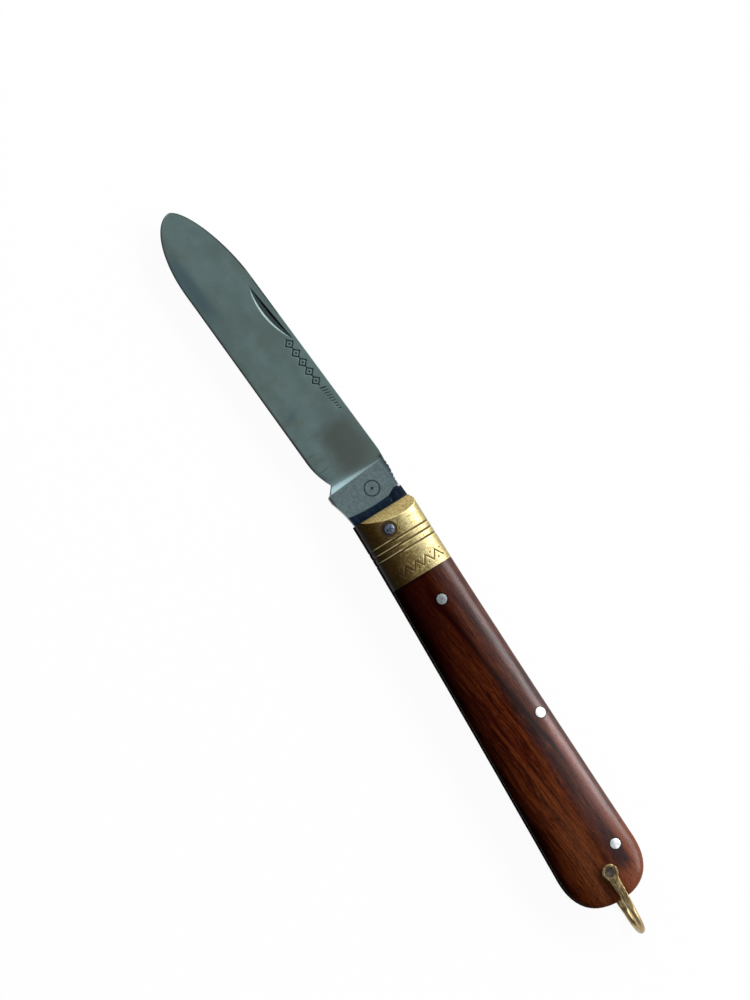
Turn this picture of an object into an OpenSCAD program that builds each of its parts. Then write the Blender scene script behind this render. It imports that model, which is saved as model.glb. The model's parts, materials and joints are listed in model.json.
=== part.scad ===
// Slip joint pocket knife with one blade, brass bolsters, wooden scales and a wire bail.
// It lies open on its side: the blade points to -X, the butt to +X, the back of the
// handle to +Y and the face with the nail nick to +Z. Sizes are in millimetres.
// Shapes are drawn from the blade's pivot, halfway through the thickness, and the last
// module moves them so that the origin is under the middle of the whole knife.

/* [Blade] */
// Length from the pivot to the tip
blade_len = 93.6; // [84:0.2:104]
// Height of the pivot above the cutting edge, where the edge curves up to the tip
edge_drop = 5.8; // [5.5:0.1:6.2]
// Height of the spine above the pivot, where the spine curves down to the tip
spine_rise = 9.85; // [9.2:0.05:10.4]
// How much the blade widens on each side from there to the ricasso
flare = 0.35; // [0:0.05:0.5]
// Thickness of the tang and the spine
blade_t = 2.3; // [1.8:0.1:3]
// Thickness left at the cutting edge
edge_t = 0.2; // [0.1:0.05:0.4]
// Height of the foremost point of the round tip above the pivot
tip_rise = 2.5; // [0.5:0.1:4]
// Length over which the edge curves up to the tip
belly_len = 19; // [14:0.2:32]
// Length over which the spine curves down to the tip
point_len = 23; // [16:0.2:36]
// Angle by which the open blade leans towards its edge
lean = 4.6; // [3:0.2:6]

/* [Ricasso] */
// Distance from the pivot to the line where the grinding starts
plunge_x = 14.9; // [14.4:0.1:18]
// Width of the hollow left by the grinding wheel at the edge
plunge_w = 2.2; // [1.2:0.1:3]
// Distance from the grinding line to the top of the notch between the edge and the kick
choil_back = 1.9; // [1.2:0.1:2.6]
// Height of that notch above the cutting edge
choil_h = 1.7; // [1:0.1:2]
// Length over which the edge rises to the top of the notch
choil_run = 8; // [4:0.2:10]
// Depth of the kick below the cutting edge
kick_depth = 0.7; // [0.4:0.05:0.9]
// Radius of the kick's round corner
kick_r = 0.7; // [0.4:0.05:1]
// Length of the kick behind that corner
kick_flat = 1.3; // [0.6:0.1:2]
// Distance from the pivot to the tang's heel
heel_x = 5.2; // [4.8:0.1:5.6]
// How far the heel lies below the pivot
heel_drop = 5.6; // [5.4:0.05:5.7]
// Distance from the pivot to the flat below it, where the heel's slant ends
heel_in = 3.4; // [3.1:0.1:3.8]
// How much the spine dips where the tang starts
tang_dip = 0.3; // [0:0.05:0.5]
// Height of the tang's back beside the spring's nose
tang_back = 9.15; // [8.8:0.05:9.4]
// Length over which the tang's back falls to that height
tang_fall = 4.4; // [2:0.1:5]

/* [Nail nick] */
// Length of the nick along its upper wall
nick_len = 16.8; // [10:0.2:20]
// Height of the crescent
nick_h = 2; // [1.2:0.1:3]
// Depth at the upper wall
nick_depth = 0.6; // [0.3:0.05:0.8]
// Distance from the tip to the middle of the nick
nick_back = 34.2; // [30:0.2:44]
// Distance from the spine down to the middle of the upper wall
nick_drop = 1.35; // [1.1:0.05:2.5]
// Slope of the upper wall against the spine
nick_slope = 3.9; // [0:0.1:6]

/* [Tang and spring] */
// Height of the spring's working face above the pivot
cam_h = 5; // [4.6:0.05:5.2]
// Radius of the tang's corners, which lift the spring as they pass
cam_r = 5.5; // [5.3:0.05:5.8]
// Angle between the closed blade and the middle line of the handle
closed_lean = 2.4; // [1.6:0.1:3]
// Length of the spring's face that the tang works against, behind the pivot
face_len = 3; // [2.5:0.1:3.2]
// Length of the spring's nose in front of the bolsters
nose_len = 3.4; // [2:0.1:4.5]
// Size of the nose's slanted corner
nose_r = 0.7; // [0.3:0.1:1.2]
// How much lower the nose's back is at its front than beside the bolsters
nose_fall = 0.2; // [0:0.05:0.4]
// How far the nose's foot lies behind its front
toe_back = 1.2; // [0:0.1:1.6]
// Height of the slant between the foot and the front
toe_h = 2.2; // [1:0.1:2.6]
// Metal left under the middle pin
spring_web = 2; // [1.5:0.1:2.6]
// Metal left under the end pin
tail_web = 1.2; // [0.8:0.1:1.6]

/* [Handle] */
// Room between the tip of the closed blade and the end of the butt
tip_room = 12.8; // [11:0.2:20]
// Width of the handle at the pivot
front_w = 16; // [15.5:0.1:18]
// Width of the handle where the butt starts to round
butt_w = 21.2; // [18:0.1:24]
// Height of the handle's middle line above the pivot
axis_rise = 1.7; // [1.6:0.05:2]
// Length of the rounded butt
butt_len = 11.7; // [9:0.1:14]
// Length of the slanted corner in front, on the spring's side
corner_len = 1.5; // [0.5:0.1:2]
// Width of that corner
corner_w = 0.7; // [0.3:0.1:0.9]
// Thickness over the bolsters
handle_t = 12.1; // [11:0.1:14]
// How much lower each scale is at the butt than at the bolster
scale_fall = 1.1; // [0.8:0.05:1.4]
// Thickness of each liner
liner_t = 1; // [0.6:0.1:1.2]

/* [Bolsters] */
// Distance from the pivot to the front of the bolsters
bolster_front = 4.8; // [4:0.1:6]
// Length of each bolster
bolster_len = 18.4; // [16:0.2:24]
// Length of the flat facet at the front, measured on the crown
facet_len = 2.5; // [1:0.1:3]
// Depth of the facet at the front edge
facet_depth = 2.4; // [1:0.1:3]
// Angle by which the facet leans towards the spring's side
facet_tilt = 7.5; // [0:0.5:10]
// Distance from the pivot to the first groove
groove_x = 2.9; // [2.6:0.1:4]
// Distance between grooves
groove_pitch = 1.7; // [1.2:0.1:2.2]
// Number of grooves
groove_count = 3; // [1:1:4]
// Width of each groove
groove_w = 0.6; // [0.3:0.05:0.8]
// Depth of each groove
groove_depth = 0.25; // [0.1:0.05:0.4]

/* [Pins] */
// Radius of the pivot pin
pivot_r = 1.5; // [1.2:0.05:2]
// Radius of the ring sunk round the pivot pin's head
seat_r = 2.05; // [2:0.05:2.5]
// Depth of that ring
seat_depth = 0.3; // [0.1:0.05:0.5]
// Radius of the cover, middle and end pins
pin_r = 1.35; // [1:0.05:1.6]
// Distance from the pivot to the cover pins
cover_pin_x = 21.2; // [19:0.2:30]
// Height of the cover pins above the pivot
cover_pin_rise = 2.1; // [0:0.1:4]
// Distance from the pivot to the middle pin
mid_pin_x = 57.2; // [48:0.2:64]
// Distance from the back of the handle down to the middle pin
mid_pin_drop = 2.65; // [2.4:0.05:3.2]
// Distance from the end of the butt to the end pin
end_pin_in = 12.5; // [11:0.1:15]
// Distance from the back of the handle down to the end pin
end_pin_drop = 5.05; // [4.5:0.05:5.6]

/* [Bail] */
// Distance from the end of the butt to the bail's pin
bail_pin_in = 7.3; // [6:0.1:8]
// Height of the bail's pin above the middle line of the handle
bail_pin_rise = 0.6; // [0:0.1:1.2]
// Radius of the bail's pin
bail_pin_r = 1; // [0.7:0.05:1.2]
// Radius of the pin's flared end
flare_r = 1.3; // [1.25:0.05:1.5]
// Depth of the flare
flare_depth = 0.5; // [0.3:0.05:0.7]
// Radius of each ear
ear_r = 2; // [1.9:0.05:2.6]
// Thickness of each ear and shank
ear_t = 1.1; // [0.8:0.05:1.15]
// Thickness of the bail's wire
wire_d = 1.6; // [1.2:0.05:1.7]
// Distance from the bail's pin to the start of the round bow
bow_start = 11; // [10:0.1:14]
// Width of the shank beside the ear
shank_w = 2.7; // [2:0.1:3.4]
// Angle at which the bail lies, towards the edge side
bail_lean = 0.4; // [0:0.2:12]

/* [Fits] */
// Gap on each side of the blade in its slot
side_gap = 0.05; // [0.03:0.01:0.1]
// Gap between the blade and the spring's faces
cam_gap = 0.03; // [0.02:0.01:0.06]
// Gap round the pins that something turns on
turn_gap = 0.05; // [0.02:0.01:0.09]
// Height by which the pins stand proud of the scales
proud = 0.06; // [0.02:0.01:0.15]

/* [Hidden] */

// Smoothness of round pieces, and steps of the faceted ones
$fn = 64;
crown_steps = 24;
butt_steps = 14;
tip_steps = 20;
height_steps = 8;

// Exponents of the crown, the butt's round and the fall of the scales towards it:
// 2 is an ellipse, and more is squarer
crown_n = 2.6;
butt_n = 2.4;
drop_n = 3;
// Exponents of the round tip, on the edge's side and on the spine's
belly_n = 2;
point_n = 1.67;
// Exponents of the handle's taper, the notch's rise and the heel's slant: 1 is straight
taper_n = 1.28;
choil_n = 2.1;
heel_n = 1.7;
// How soon the blade thickens from its edge: 1 is a flat grind
grind_n = 0.9;

// Spare length of a cutting shape, and the overlap of two shapes of one piece
past = 20;
lap = 0.02;
// How far the ground blade reaches into the tang that holds it, and thins there
root_len = 1;
root_dip = 0.3;

// Thickness of the slot and the places of the layers, from the middle outwards
slot_t = blade_t + 2 * side_gap;
liner_z = slot_t / 2;
cover_z = liner_z + liner_t;
top_z = handle_t / 2;
// The crown stands this much over the flat that the knife rests on
flat_cut = 0.1;
crown_front_h = top_z + flat_cut - cover_z;

// Places along the handle: the scales fall away faster over the last stretch
drop_len = 1.7 * butt_len;
butt_end = blade_len + tip_room;
butt_x = butt_end - butt_len;
drop_x = butt_end - drop_len;
bolster_end = bolster_len - bolster_front;
nose_x = bolster_front + nose_len;
full_h = edge_drop + spine_rise + 2 * flare;

// A point turned about the pivot
function turned(p, a) = [p[0] * cos(a) - p[1] * sin(a), p[0] * sin(a) + p[1] * cos(a)];

// Outline of the handle: its half width at x, and its back
function round_off(s, n) = pow(max(0, 1 - pow(min(1, max(0, s)), n)), 1 / n);
function taper_w(x) =
    front_w / 2 + (butt_w - front_w) / 2 * pow(max(0, x) / butt_x, taper_n);
function half_w(x) = taper_w(min(x, butt_x)) * round_off((x - butt_x) / butt_len, butt_n);
function back_y(x) = axis_rise + half_w(x);
nose_top = back_y(0) - corner_w;
function crown_h(x) =
    (crown_front_h - scale_fall * max(0, x - bolster_end) / (butt_x - bolster_end))
    * round_off((x - drop_x) / drop_len, drop_n);

// Where the round of the butt comes down to a height y
function tail_x(y) = butt_x + butt_len * round_off((y - axis_rise) / half_w(butt_x), butt_n);

// Places of the pins
cover_pin = [cover_pin_x, cover_pin_rise];
mid_pin = [mid_pin_x, back_y(mid_pin_x) - mid_pin_drop];
end_pin_x = butt_end - end_pin_in;
end_pin = [end_pin_x, taper_w(min(end_pin_x, butt_x)) + axis_rise - end_pin_drop];
bail_at = [butt_end - bail_pin_in, axis_rise + bail_pin_rise];

// Stations along the handle, closer together round the butt
butt_xs = [for (i = [0:butt_steps])
    butt_x + butt_len * pow(sin(88 * i / butt_steps), 2 / butt_n)];
side_xs = [for (i = [1:7]) bolster_end + (butt_x - bolster_end) * i / 8];
scale_xs = concat([bolster_end], side_xs, butt_xs);
liner_xs = concat([-bolster_front], scale_xs);
groove_xs = [for (i = [0:groove_count - 1]) groove_x + i * groove_pitch];

// Blade outline in its own frame, with the tip towards -X
edge_x = blade_len - belly_len;
point_x = blade_len - point_len;
function widening(x) = flare * min(1, max(0, (x + point_x) / (point_x - plunge_x)));
function edge_y(x) = tip_rise - widening(x)
    - (tip_rise + edge_drop) * round_off((-x - edge_x) / belly_len, belly_n);
function dip(x) = tang_dip * min(1, max(0, 1 + (x + plunge_x) / plunge_w));
function spine_y(x) = tip_rise + widening(x) - dip(x)
    + (spine_rise - tip_rise) * round_off((-x - point_x) / point_len, point_n);
tang_top = spine_rise + flare - tang_dip;
tang_low = -edge_drop - flare;

// Stations along the blade from its root to its tip
blade_xs = concat(
    [-plunge_x + root_len, -plunge_x],
    [for (i = [1:6]) -plunge_x - plunge_w * i / 6],
    [for (i = [0:4]) -plunge_x - plunge_w
        - (point_x - plunge_x - plunge_w) * (i + 1) / 5],
    [for (i = [1:tip_steps]) -point_x - point_len * sin(89 * i / tip_steps)]
);

// Closed blade: how far it turns, and where the kick then stops under the spring
swing = 180 - lean - closed_lean;
kick_low = tang_low - kick_depth;
kick_at = [-plunge_x + kick_r - lap, kick_low + kick_r];
kick_end = -kick_at[0] - kick_flat;

// Lower border of the tang, from the kick to the heel
heel = [for (i = [0:6]) let (s = 1 - i / 6)
    [-heel_x - (kick_end - heel_x) * s, -heel_drop + (kick_low + heel_drop) * pow(s, heel_n)]];

// Whole knife: its limits, which place the origin
bow_r = top_z - wire_d / 2;
blade_pts = [for (x = blade_xs) for (y = [edge_y(x), spine_y(x)]) turned([x, y], lean)];
knife_x = [
    min([for (p = blade_pts) p[0]]),
    bail_at[0] + (bow_start + bow_r) * cos(bail_lean) + wire_d / 2
];
knife_y = [
    min([for (p = blade_pts) p[1]]),
    max([for (x = liner_xs) back_y(x)])
];

// Half thickness of the blade at a share r of the way from the edge to the spine.
// The ground face rises from the edge, and the wheel leaves a hollow at the ricasso.
function ground(x, r) =
    edge_t / 2 + (blade_t - edge_t) / 2 * pow(
        r * (spine_y(x) - edge_y(x)) / full_h, grind_n);
function hollow(x, r) =
    max(0, 1 + (x + plunge_x) / (plunge_w * (1 - 0.85 * r)));
function half_t(x, r) =
    let (g = min(ground(x, r), blade_t / 2 - lap), root = max(0, x + plunge_x))
    g + (blade_t / 2 - lap - g) * pow(min(1, hollow(x, r)), 2) - root_dip * root * pow(2 * r - 1, 2);

// Middle of the nick's upper wall, and the height of the blade's face halfway down it
nick_at = [nick_back - blade_len, spine_y(nick_back - blade_len) - nick_drop];
nick_low = edge_y(nick_at[0]);
nick_face = ground(nick_at[0],
    (nick_at[1] - nick_h / 2 - nick_low) / (nick_at[1] + nick_drop - nick_low));

// One ring round the blade: up one side from the edge and down the other
function blade_ring(x) =
    let (low = edge_y(x) + lap, high = spine_y(x) - lap)
    concat(
        [for (i = [0:height_steps]) let (r = i / height_steps)
            [x, low + (high - low) * r, half_t(x, r)]],
        [for (i = [height_steps:-1:0]) let (r = i / height_steps)
            [x, low + (high - low) * r, -half_t(x, r)]]
    );

// One ring over a bolster or scale, sunk by d where a groove runs
function signed_pow(v, e) = sign(v) * pow(abs(v), e);
function crown_ring(x, d = 0) =
    let (w = half_w(x) - d, h = crown_h(x) - d)
    [for (i = [0:crown_steps]) let (a = 180 * i / crown_steps)
        [x, axis_rise + w * signed_pow(cos(a), 2 / crown_n),
            cover_z + h * pow(max(0, sin(a)), 2 / crown_n)]];

// Solid through rings of equal length, each given in the same sense
module loft(rings) {
    n = len(rings[0]);
    last = (len(rings) - 1) * n;
    polyhedron(
        points = [for (ring = rings) for (p = ring) p],
        faces = concat(
            [[for (i = [0:n - 1]) i]],
            [for (k = [0:len(rings) - 2]) for (i = [0:n - 1]) each [
                [k * n + i, (k + 1) * n + i, (k + 1) * n + (i + 1) % n],
                [k * n + i, (k + 1) * n + (i + 1) % n, k * n + (i + 1) % n]]],
            [[for (i = [n - 1:-1:0]) last + i]]
        )
    );
}

// Straight prism of an outline, from the low z to the high z
module plate(pts, low, high) {
    translate([0, 0, low]) linear_extrude(high - low) polygon(pts);
}

// Pin from the low z to the high z
module pin_at(p, r, low, high) {
    translate([p[0], p[1], low]) cylinder(h = high - low, r = r);
}

// The three straight pins of one side pass through here
module pin_holes() {
    for (p = [cover_pin, mid_pin, end_pin]) pin_at(p, pin_r, -past, past);
}

// Ground part of the blade, with the round tip
module ground_blade() {
    loft([for (x = blade_xs) blade_ring(x)]);
}

// Ricasso and kick, up to a line above the pivot
module ricasso() {
    plate(concat([
        [-plunge_x, tang_top],
        [-plunge_x, kick_at[1]],
        [kick_at[0], kick_low]
    ], heel, [
        [-heel_in, -cam_h + cam_gap],
        [0, -cam_h + cam_gap],
        [0, tang_back],
        [-nose_x, tang_back],
        [-nose_x - tang_fall, tang_top]
    ]), -blade_t / 2, blade_t / 2);
    pin_at(kick_at, kick_r, -blade_t / 2, blade_t / 2);
}

// Rear of the tang: a round with three flats, for the blade open, half shut and shut
module cam() {
    difference() {
        cylinder(h = blade_t, r = cam_r, center = true);
        for (a = [90 - lean, (closed_lean - lean) / 2, closed_lean - 90])
            rotate([0, 0, a]) translate([cam_h - cam_gap, -past, -past]) cube(2 * past);
    }
}

// Crescent cut by a conical wheel, deepest at its straight upper wall
module nail_nick() {
    r = (pow(nick_len / 2, 2) + pow(nick_h, 2)) / (2 * nick_h);
    slope = nick_depth / nick_h;
    over = 1;
    translate([nick_at[0], nick_at[1], nick_face])
        rotate([0, 0, nick_slope])
            intersection() {
                translate([0, r - nick_h, -nick_depth])
                    cylinder(h = nick_depth + over, r1 = r - nick_h, r2 = r + over / slope);
                translate([-nick_len, -past, -past]) cube([2 * nick_len, past, 2 * past]);
            }
}

// Space in front of the kick: the edge rises slowly to it, and the kick falls off steeply
module choil() {
    top_x = -plunge_x - choil_back;
    plate(concat(
        [for (i = [0:12]) let (x = top_x - choil_run * (1 - i / 12))
            [x, edge_y(x) + choil_h * pow(i / 12, choil_n) - (i == 0 ? lap : 0)]],
        [[-plunge_x, kick_at[1]], [-plunge_x, -past], [top_x - choil_run, -past]]
    ), -past, past);
}

// The spring's nose seen from the side, grown by a gap
function nose_border(gap) = [
    [-nose_x + toe_back - gap, cam_h - gap],
    [-nose_x - gap, cam_h + toe_h]
];

module blade() {
    color("slategray") difference() {
        rotate([0, 0, lean]) difference() {
            union() {
                ground_blade();
                ricasso();
                cam();
            }
            choil();
            nail_nick();
        }
        plate(concat(nose_border(cam_gap), [[-nose_x - cam_gap, past], [past, past],
            [past, cam_h - cam_gap]]), -past, past);
        pin_at([0, 0], pivot_r + turn_gap, -past, past);
    }
}

module backspring() {
    back = [for (x = concat([0], liner_xs)) if (x >= 0) [x, back_y(x)]];
    stop = concat([[kick_at[0] - kick_r, kick_low]], heel);
    tail_y = end_pin[1] - pin_r - tail_web;
    color("dimgray") difference() {
        union() {
            plate(concat(
                [for (p = back) if (p[1] > tail_y) p],
                [
                    [tail_x(tail_y), tail_y],
                    [end_pin[0], tail_y],
                    [mid_pin[0], mid_pin[1] - pin_r - spring_web],
                ],
                [for (p = stop) turned([p[0], p[1] - cam_gap], swing + lean)],
                [[face_len, cam_h]],
                nose_border(0),
                [
                    [-nose_x, nose_top - nose_fall - nose_r],
                    [-nose_x + nose_r, nose_top - nose_fall],
                    [-bolster_front, nose_top],
                    [-bolster_front + corner_len, back_y(0)]
                ]), -liner_z, liner_z);
        }
        pin_at(mid_pin, pin_r, -past, past);
        pin_at(end_pin, pin_r, -past, past);
    }
}

// Flat brass sheet of the handle's outline
module liner() {
    color("goldenrod") difference() {
        plate(concat(
            [for (x = liner_xs) [x, axis_rise - half_w(x)]],
            [for (i = [len(liner_xs) - 1:-1:1]) [liner_xs[i], back_y(liner_xs[i])]],
            [[-bolster_front + corner_len, back_y(0)], [-bolster_front, nose_top]]
        ), liner_z, cover_z);
        pin_at([0, 0], pivot_r, -past, past);
        pin_holes();
        pin_at(bail_at, bail_pin_r, -past, past);
    }
}

// Everything above the flat that the crowns are filed down to
module over_flat() {
    translate([-past, -past, top_z]) cube([2 * butt_end, 2 * past, past]);
}

// Crowned bolster with a facet in front and grooves across
module bolster() {
    rings = concat(
        [crown_ring(-bolster_front)],
        [for (x = groove_xs) each [
            crown_ring(x - groove_w / 2),
            crown_ring(x, groove_depth),
            crown_ring(x + groove_w / 2)]],
        [crown_ring(bolster_end)]
    );
    color("gold") difference() {
        loft(rings);
        over_flat();
        translate([-bolster_front, axis_rise, top_z - facet_depth])
            rotate([0, -atan2(facet_depth, facet_len), 0]) rotate([-facet_tilt, 0, 0])
                translate([-past, -past, 0]) cube([3 * past, 3 * past, past]);
        translate([-bolster_front, nose_top, -past])
            rotate([0, 0, atan2(corner_w, corner_len)])
                translate([-past, 0, 0]) cube([3 * past, past, 2 * past]);
        pin_at([0, 0], pivot_r, -past, past);
        pin_at([0, 0], seat_r, top_z - seat_depth, past);
    }
}

// Wooden cover, crowned across and rounded off at the butt
module scale_cover() {
    color("saddlebrown") difference() {
        loft([for (x = scale_xs) crown_ring(x)]);
        over_flat();
        pin_holes();
        pin_at(bail_at, bail_pin_r, -past, past);
    }
}

// Space round a pin up to the scales' surface and a little over it, where it is filed off
module filed_space(p) {
    rings = [for (x = [p[0] - 2 * pin_r, p[0] + 2 * pin_r]) crown_ring(x, -proud)];
    loft(rings);
    mirror([0, 0, 1]) loft(rings);
    pin_at(p, 2 * pin_r, -cover_z - lap, cover_z + lap);
}

// Pin through both scales and whatever lies between them
module through_pin(p) {
    color("silver") intersection() {
        pin_at(p, pin_r, -top_z, top_z);
        filed_space(p);
    }
}

// Short pin through one scale and one liner, which leaves the blade's slot free
module short_pin() {
    color("silver") intersection() {
        pin_at(cover_pin, pin_r, liner_z, top_z);
        filed_space(cover_pin);
    }
}

module pivot_pin() {
    color("gray") pin_at([0, 0], pivot_r, -top_z + proud, top_z - proud);
}

// Bail pin with both ends flared into the ears
module bail_pin() {
    end_z = top_z - proud;
    color("darkgoldenrod") {
        pin_at(bail_at, bail_pin_r, -end_z + flare_depth, end_z - flare_depth);
        for (s = [0, 1]) mirror([0, 0, s]) translate([bail_at[0], bail_at[1], end_z - flare_depth])
            cylinder(h = flare_depth, r1 = bail_pin_r, r2 = flare_r);
    }
}

// One ear with its shank, and a stretch of wire up to the bow
module bail_leg() {
    straight = 1;
    difference() {
        union() {
            pin_at([0, 0], ear_r, top_z - ear_t, top_z);
            plate([
                [0, -shank_w / 2], [bow_start - straight / 2, -wire_d / 2],
                [bow_start - straight / 2, wire_d / 2], [0, shank_w / 2]
            ], top_z - ear_t, top_z);
            translate([bow_start - straight, 0, bow_r]) rotate([0, 90, 0])
                cylinder(h = straight, r = wire_d / 2);
        }
        pin_at([0, 0], bail_pin_r + turn_gap, -past, past);
        translate([0, 0, top_z - proud - flare_depth])
            cylinder(h = flare_depth + proud,
                r1 = bail_pin_r + turn_gap,
                r2 = flare_r + turn_gap + (flare_r - bail_pin_r) * proud / flare_depth);
    }
}

// Wire loop over the butt, with an ear on each side
module bail() {
    color("darkkhaki") translate([bail_at[0], bail_at[1], 0]) rotate([0, 0, -bail_lean]) {
        bail_leg();
        mirror([0, 0, 1]) bail_leg();
        translate([bow_start, 0, 0]) rotate([90, 0, 0]) rotate([0, 0, -90])
            rotate_extrude(angle = 180) translate([bow_r, 0]) circle(r = wire_d / 2);
    }
}

// Moves a piece from the pivot's frame to the knife's own origin
module placed() {
    translate([-(knife_x[0] + knife_x[1]) / 2, -(knife_y[0] + knife_y[1]) / 2, top_z]) children();
}

placed() blade();
placed() backspring();
placed() liner();  // front_liner
placed() mirror([0, 0, 1]) liner();  // back_liner
placed() bolster();  // front_bolster
placed() mirror([0, 0, 1]) bolster();  // back_bolster
placed() scale_cover();  // front_scale
placed() mirror([0, 0, 1]) scale_cover();  // back_scale
placed() pivot_pin();
placed() through_pin(mid_pin);  // spring_pin
placed() through_pin(end_pin);
placed() short_pin();  // front_cover_pin
placed() mirror([0, 0, 1]) short_pin();  // back_cover_pin
placed() bail();
placed() bail_pin();
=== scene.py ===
# %% [markdown]
# # A slip joint pocket knife in brass, steel and rosewood
# The knife lies open on its side. A frame with its fifteen pieces comes from the CAD model.
# Here each piece gets its finished surface: hollows left by the grinding wheel, grooves,
# round edges, and metal and wood that look handled.

# %% Load the frame
import json
import math

import bmesh
import bpy
from mathutils import Matrix, Vector, noise

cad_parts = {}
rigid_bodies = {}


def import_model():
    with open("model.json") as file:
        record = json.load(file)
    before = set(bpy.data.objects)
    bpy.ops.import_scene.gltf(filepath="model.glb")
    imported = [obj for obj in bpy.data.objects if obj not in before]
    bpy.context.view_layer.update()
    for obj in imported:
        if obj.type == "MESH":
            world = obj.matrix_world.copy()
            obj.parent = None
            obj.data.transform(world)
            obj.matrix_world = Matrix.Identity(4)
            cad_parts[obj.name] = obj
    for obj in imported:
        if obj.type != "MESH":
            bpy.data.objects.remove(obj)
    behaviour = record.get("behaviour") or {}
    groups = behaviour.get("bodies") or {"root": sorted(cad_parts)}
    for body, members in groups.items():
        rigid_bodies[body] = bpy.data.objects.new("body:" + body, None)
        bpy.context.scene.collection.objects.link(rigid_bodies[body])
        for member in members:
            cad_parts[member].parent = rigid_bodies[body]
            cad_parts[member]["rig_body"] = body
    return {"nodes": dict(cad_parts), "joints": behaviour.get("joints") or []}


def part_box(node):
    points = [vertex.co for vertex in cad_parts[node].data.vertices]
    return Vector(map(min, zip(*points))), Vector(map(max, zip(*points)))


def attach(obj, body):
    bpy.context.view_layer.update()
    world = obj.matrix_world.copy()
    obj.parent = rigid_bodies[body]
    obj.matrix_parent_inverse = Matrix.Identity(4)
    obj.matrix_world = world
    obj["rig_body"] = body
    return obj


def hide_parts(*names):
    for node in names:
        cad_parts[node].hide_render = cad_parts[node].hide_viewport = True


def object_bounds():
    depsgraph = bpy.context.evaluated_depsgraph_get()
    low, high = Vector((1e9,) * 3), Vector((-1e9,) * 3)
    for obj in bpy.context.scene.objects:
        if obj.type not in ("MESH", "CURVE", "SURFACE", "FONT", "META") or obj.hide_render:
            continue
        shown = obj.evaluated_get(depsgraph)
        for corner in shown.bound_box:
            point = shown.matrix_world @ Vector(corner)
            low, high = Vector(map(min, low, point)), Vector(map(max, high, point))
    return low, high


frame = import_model()
cad_low, cad_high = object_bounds()
scene = bpy.context.scene
print("frame", sorted(frame["nodes"]))

# %% [markdown]
# The frame is in metres, which is too coarse a unit for a thing this small: tools that merge
# or bevel work best on lengths near 1. So every piece is shaped in millimetres, measured
# from the blade's pivot halfway through the thickness, and carried into the frame at the
# end. The pivot's place and the layers of the handle are read from the frame itself.

# %% Places read from the frame
MM = 0.001
hinges = {joint["name"]: joint for joint in frame["joints"]}
pivot = Vector(hinges["blade_hinge"]["pos_m"])


def box_mm(node):
    """Lowest and highest corner of a CAD node, in millimetres from the pivot."""
    low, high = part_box(node)
    return (low - pivot) / MM, (high - pivot) / MM


def centre_mm(node):
    """Middle of a CAD node's box, in millimetres from the pivot."""
    low, high = box_mm(node)
    return (low + high) / 2


bolster_low, bolster_high = box_mm("front_bolster")
scale_low, scale_high = box_mm("front_scale")
liner_z = box_mm("front_liner")[0].z
cover_z = bolster_low.z
top_z = bolster_high.z
axis_y = (scale_low.y + scale_high.y) / 2
front_x = bolster_low.x
joint_x = bolster_high.x
butt_end = scale_high.x
print("handle from", round(front_x, 2), "to", round(butt_end, 2), "mm, half thickness", round(top_z, 3))

# %% [markdown]
# The camera looks down on the knife from a little on the edge side, and is turned so that
# the knife lies across the picture from the upper left to the lower right. A long lens from
# far away gives the flat perspective of a product picture.

# %% Camera
camera_tilt = math.radians(8)
camera_turn = math.radians(58.5)
camera_reach = 3.0
picture_height = 0.243
aim_ahead = -7.79
aim_up = 1.13
aim_height = 3.5

across = Vector((0, math.cos(camera_tilt), math.sin(camera_tilt)))
away = Vector((0, -math.sin(camera_tilt), math.cos(camera_tilt)))
along = Vector((1, 0, 0))
right = along * math.cos(camera_turn) + across * math.sin(camera_turn)
up = across * math.cos(camera_turn) - along * math.sin(camera_turn)
aim = pivot + (along * aim_ahead + across * aim_up + Vector((0, 0, aim_height))) * MM

camera_data = bpy.data.cameras.new("camera")
camera_data.lens = camera_data.sensor_width * camera_reach / picture_height
camera = bpy.data.objects.new("camera", camera_data)
camera.matrix_world = Matrix.Translation(aim + away * camera_reach) @ Matrix(
    (right, up, away)
).transposed().to_4x4()
scene.collection.objects.link(camera)
scene.camera = camera
print("camera lens", round(camera_data.lens, 1), "mm")

# %% [markdown]
# Materials are written as sums. A Value stands for one output of a node, and adding or
# multiplying values adds the Math nodes. Nodes is a tree being made: its node method adds
# any other node. A Finish is the tree of a material, and its coordinates are millimetres
# from the pivot, turned to follow a piece where that helps. Its colour starts as a mix, and
# more colours are laid on it one after another, like thin coats of paint.

# %% Values
class Value:
    """One output of a node, which takes part in sums."""

    def __init__(self, nodes, socket):
        self.nodes = nodes
        self.socket = socket

    def math(self, operation, *others):
        return self.nodes.node("Math", {"operation": operation}, [self, *others])

    def __add__(self, other):
        return self.math("ADD", other)

    def __sub__(self, other):
        return self.math("SUBTRACT", other)

    def __mul__(self, other):
        return self.math("MULTIPLY", other)

    def __truediv__(self, other):
        return self.math("DIVIDE", other)

    def __rsub__(self, other):
        return self.nodes.node("Math", {"operation": "SUBTRACT"}, [other, self])

    __radd__ = __add__
    __rmul__ = __mul__

    def power(self, exponent):
        return self.math("POWER", exponent)

    def size(self):
        return self.math("ABSOLUTE")

    def most(self, other):
        return self.math("MAXIMUM", other)

    def ramp(self, low, high):
        """0 below low, 1 above high, and smooth between them."""
        return self.nodes.node(
            "MapRange",
            {"interpolation_type": "SMOOTHSTEP"},
            {"Value": self, "From Min": low, "From Max": high},
        )

    def band(self, low, high, soft):
        """1 between low and high, with soft borders."""
        return self.ramp(low - soft, low + soft) * (1 - self.ramp(high - soft, high + soft))


print("values can be summed")


# %% Colours and node trees
def paint(red, green, blue):
    """A colour as it looks on a screen, from 0 to 255, for a socket."""
    linear = [
        c / 12.92 if c <= 0.04045 else ((c + 0.055) / 1.055) ** 2.4
        for c in (red / 255, green / 255, blue / 255)
    ]
    return (*linear, 1)


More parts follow.
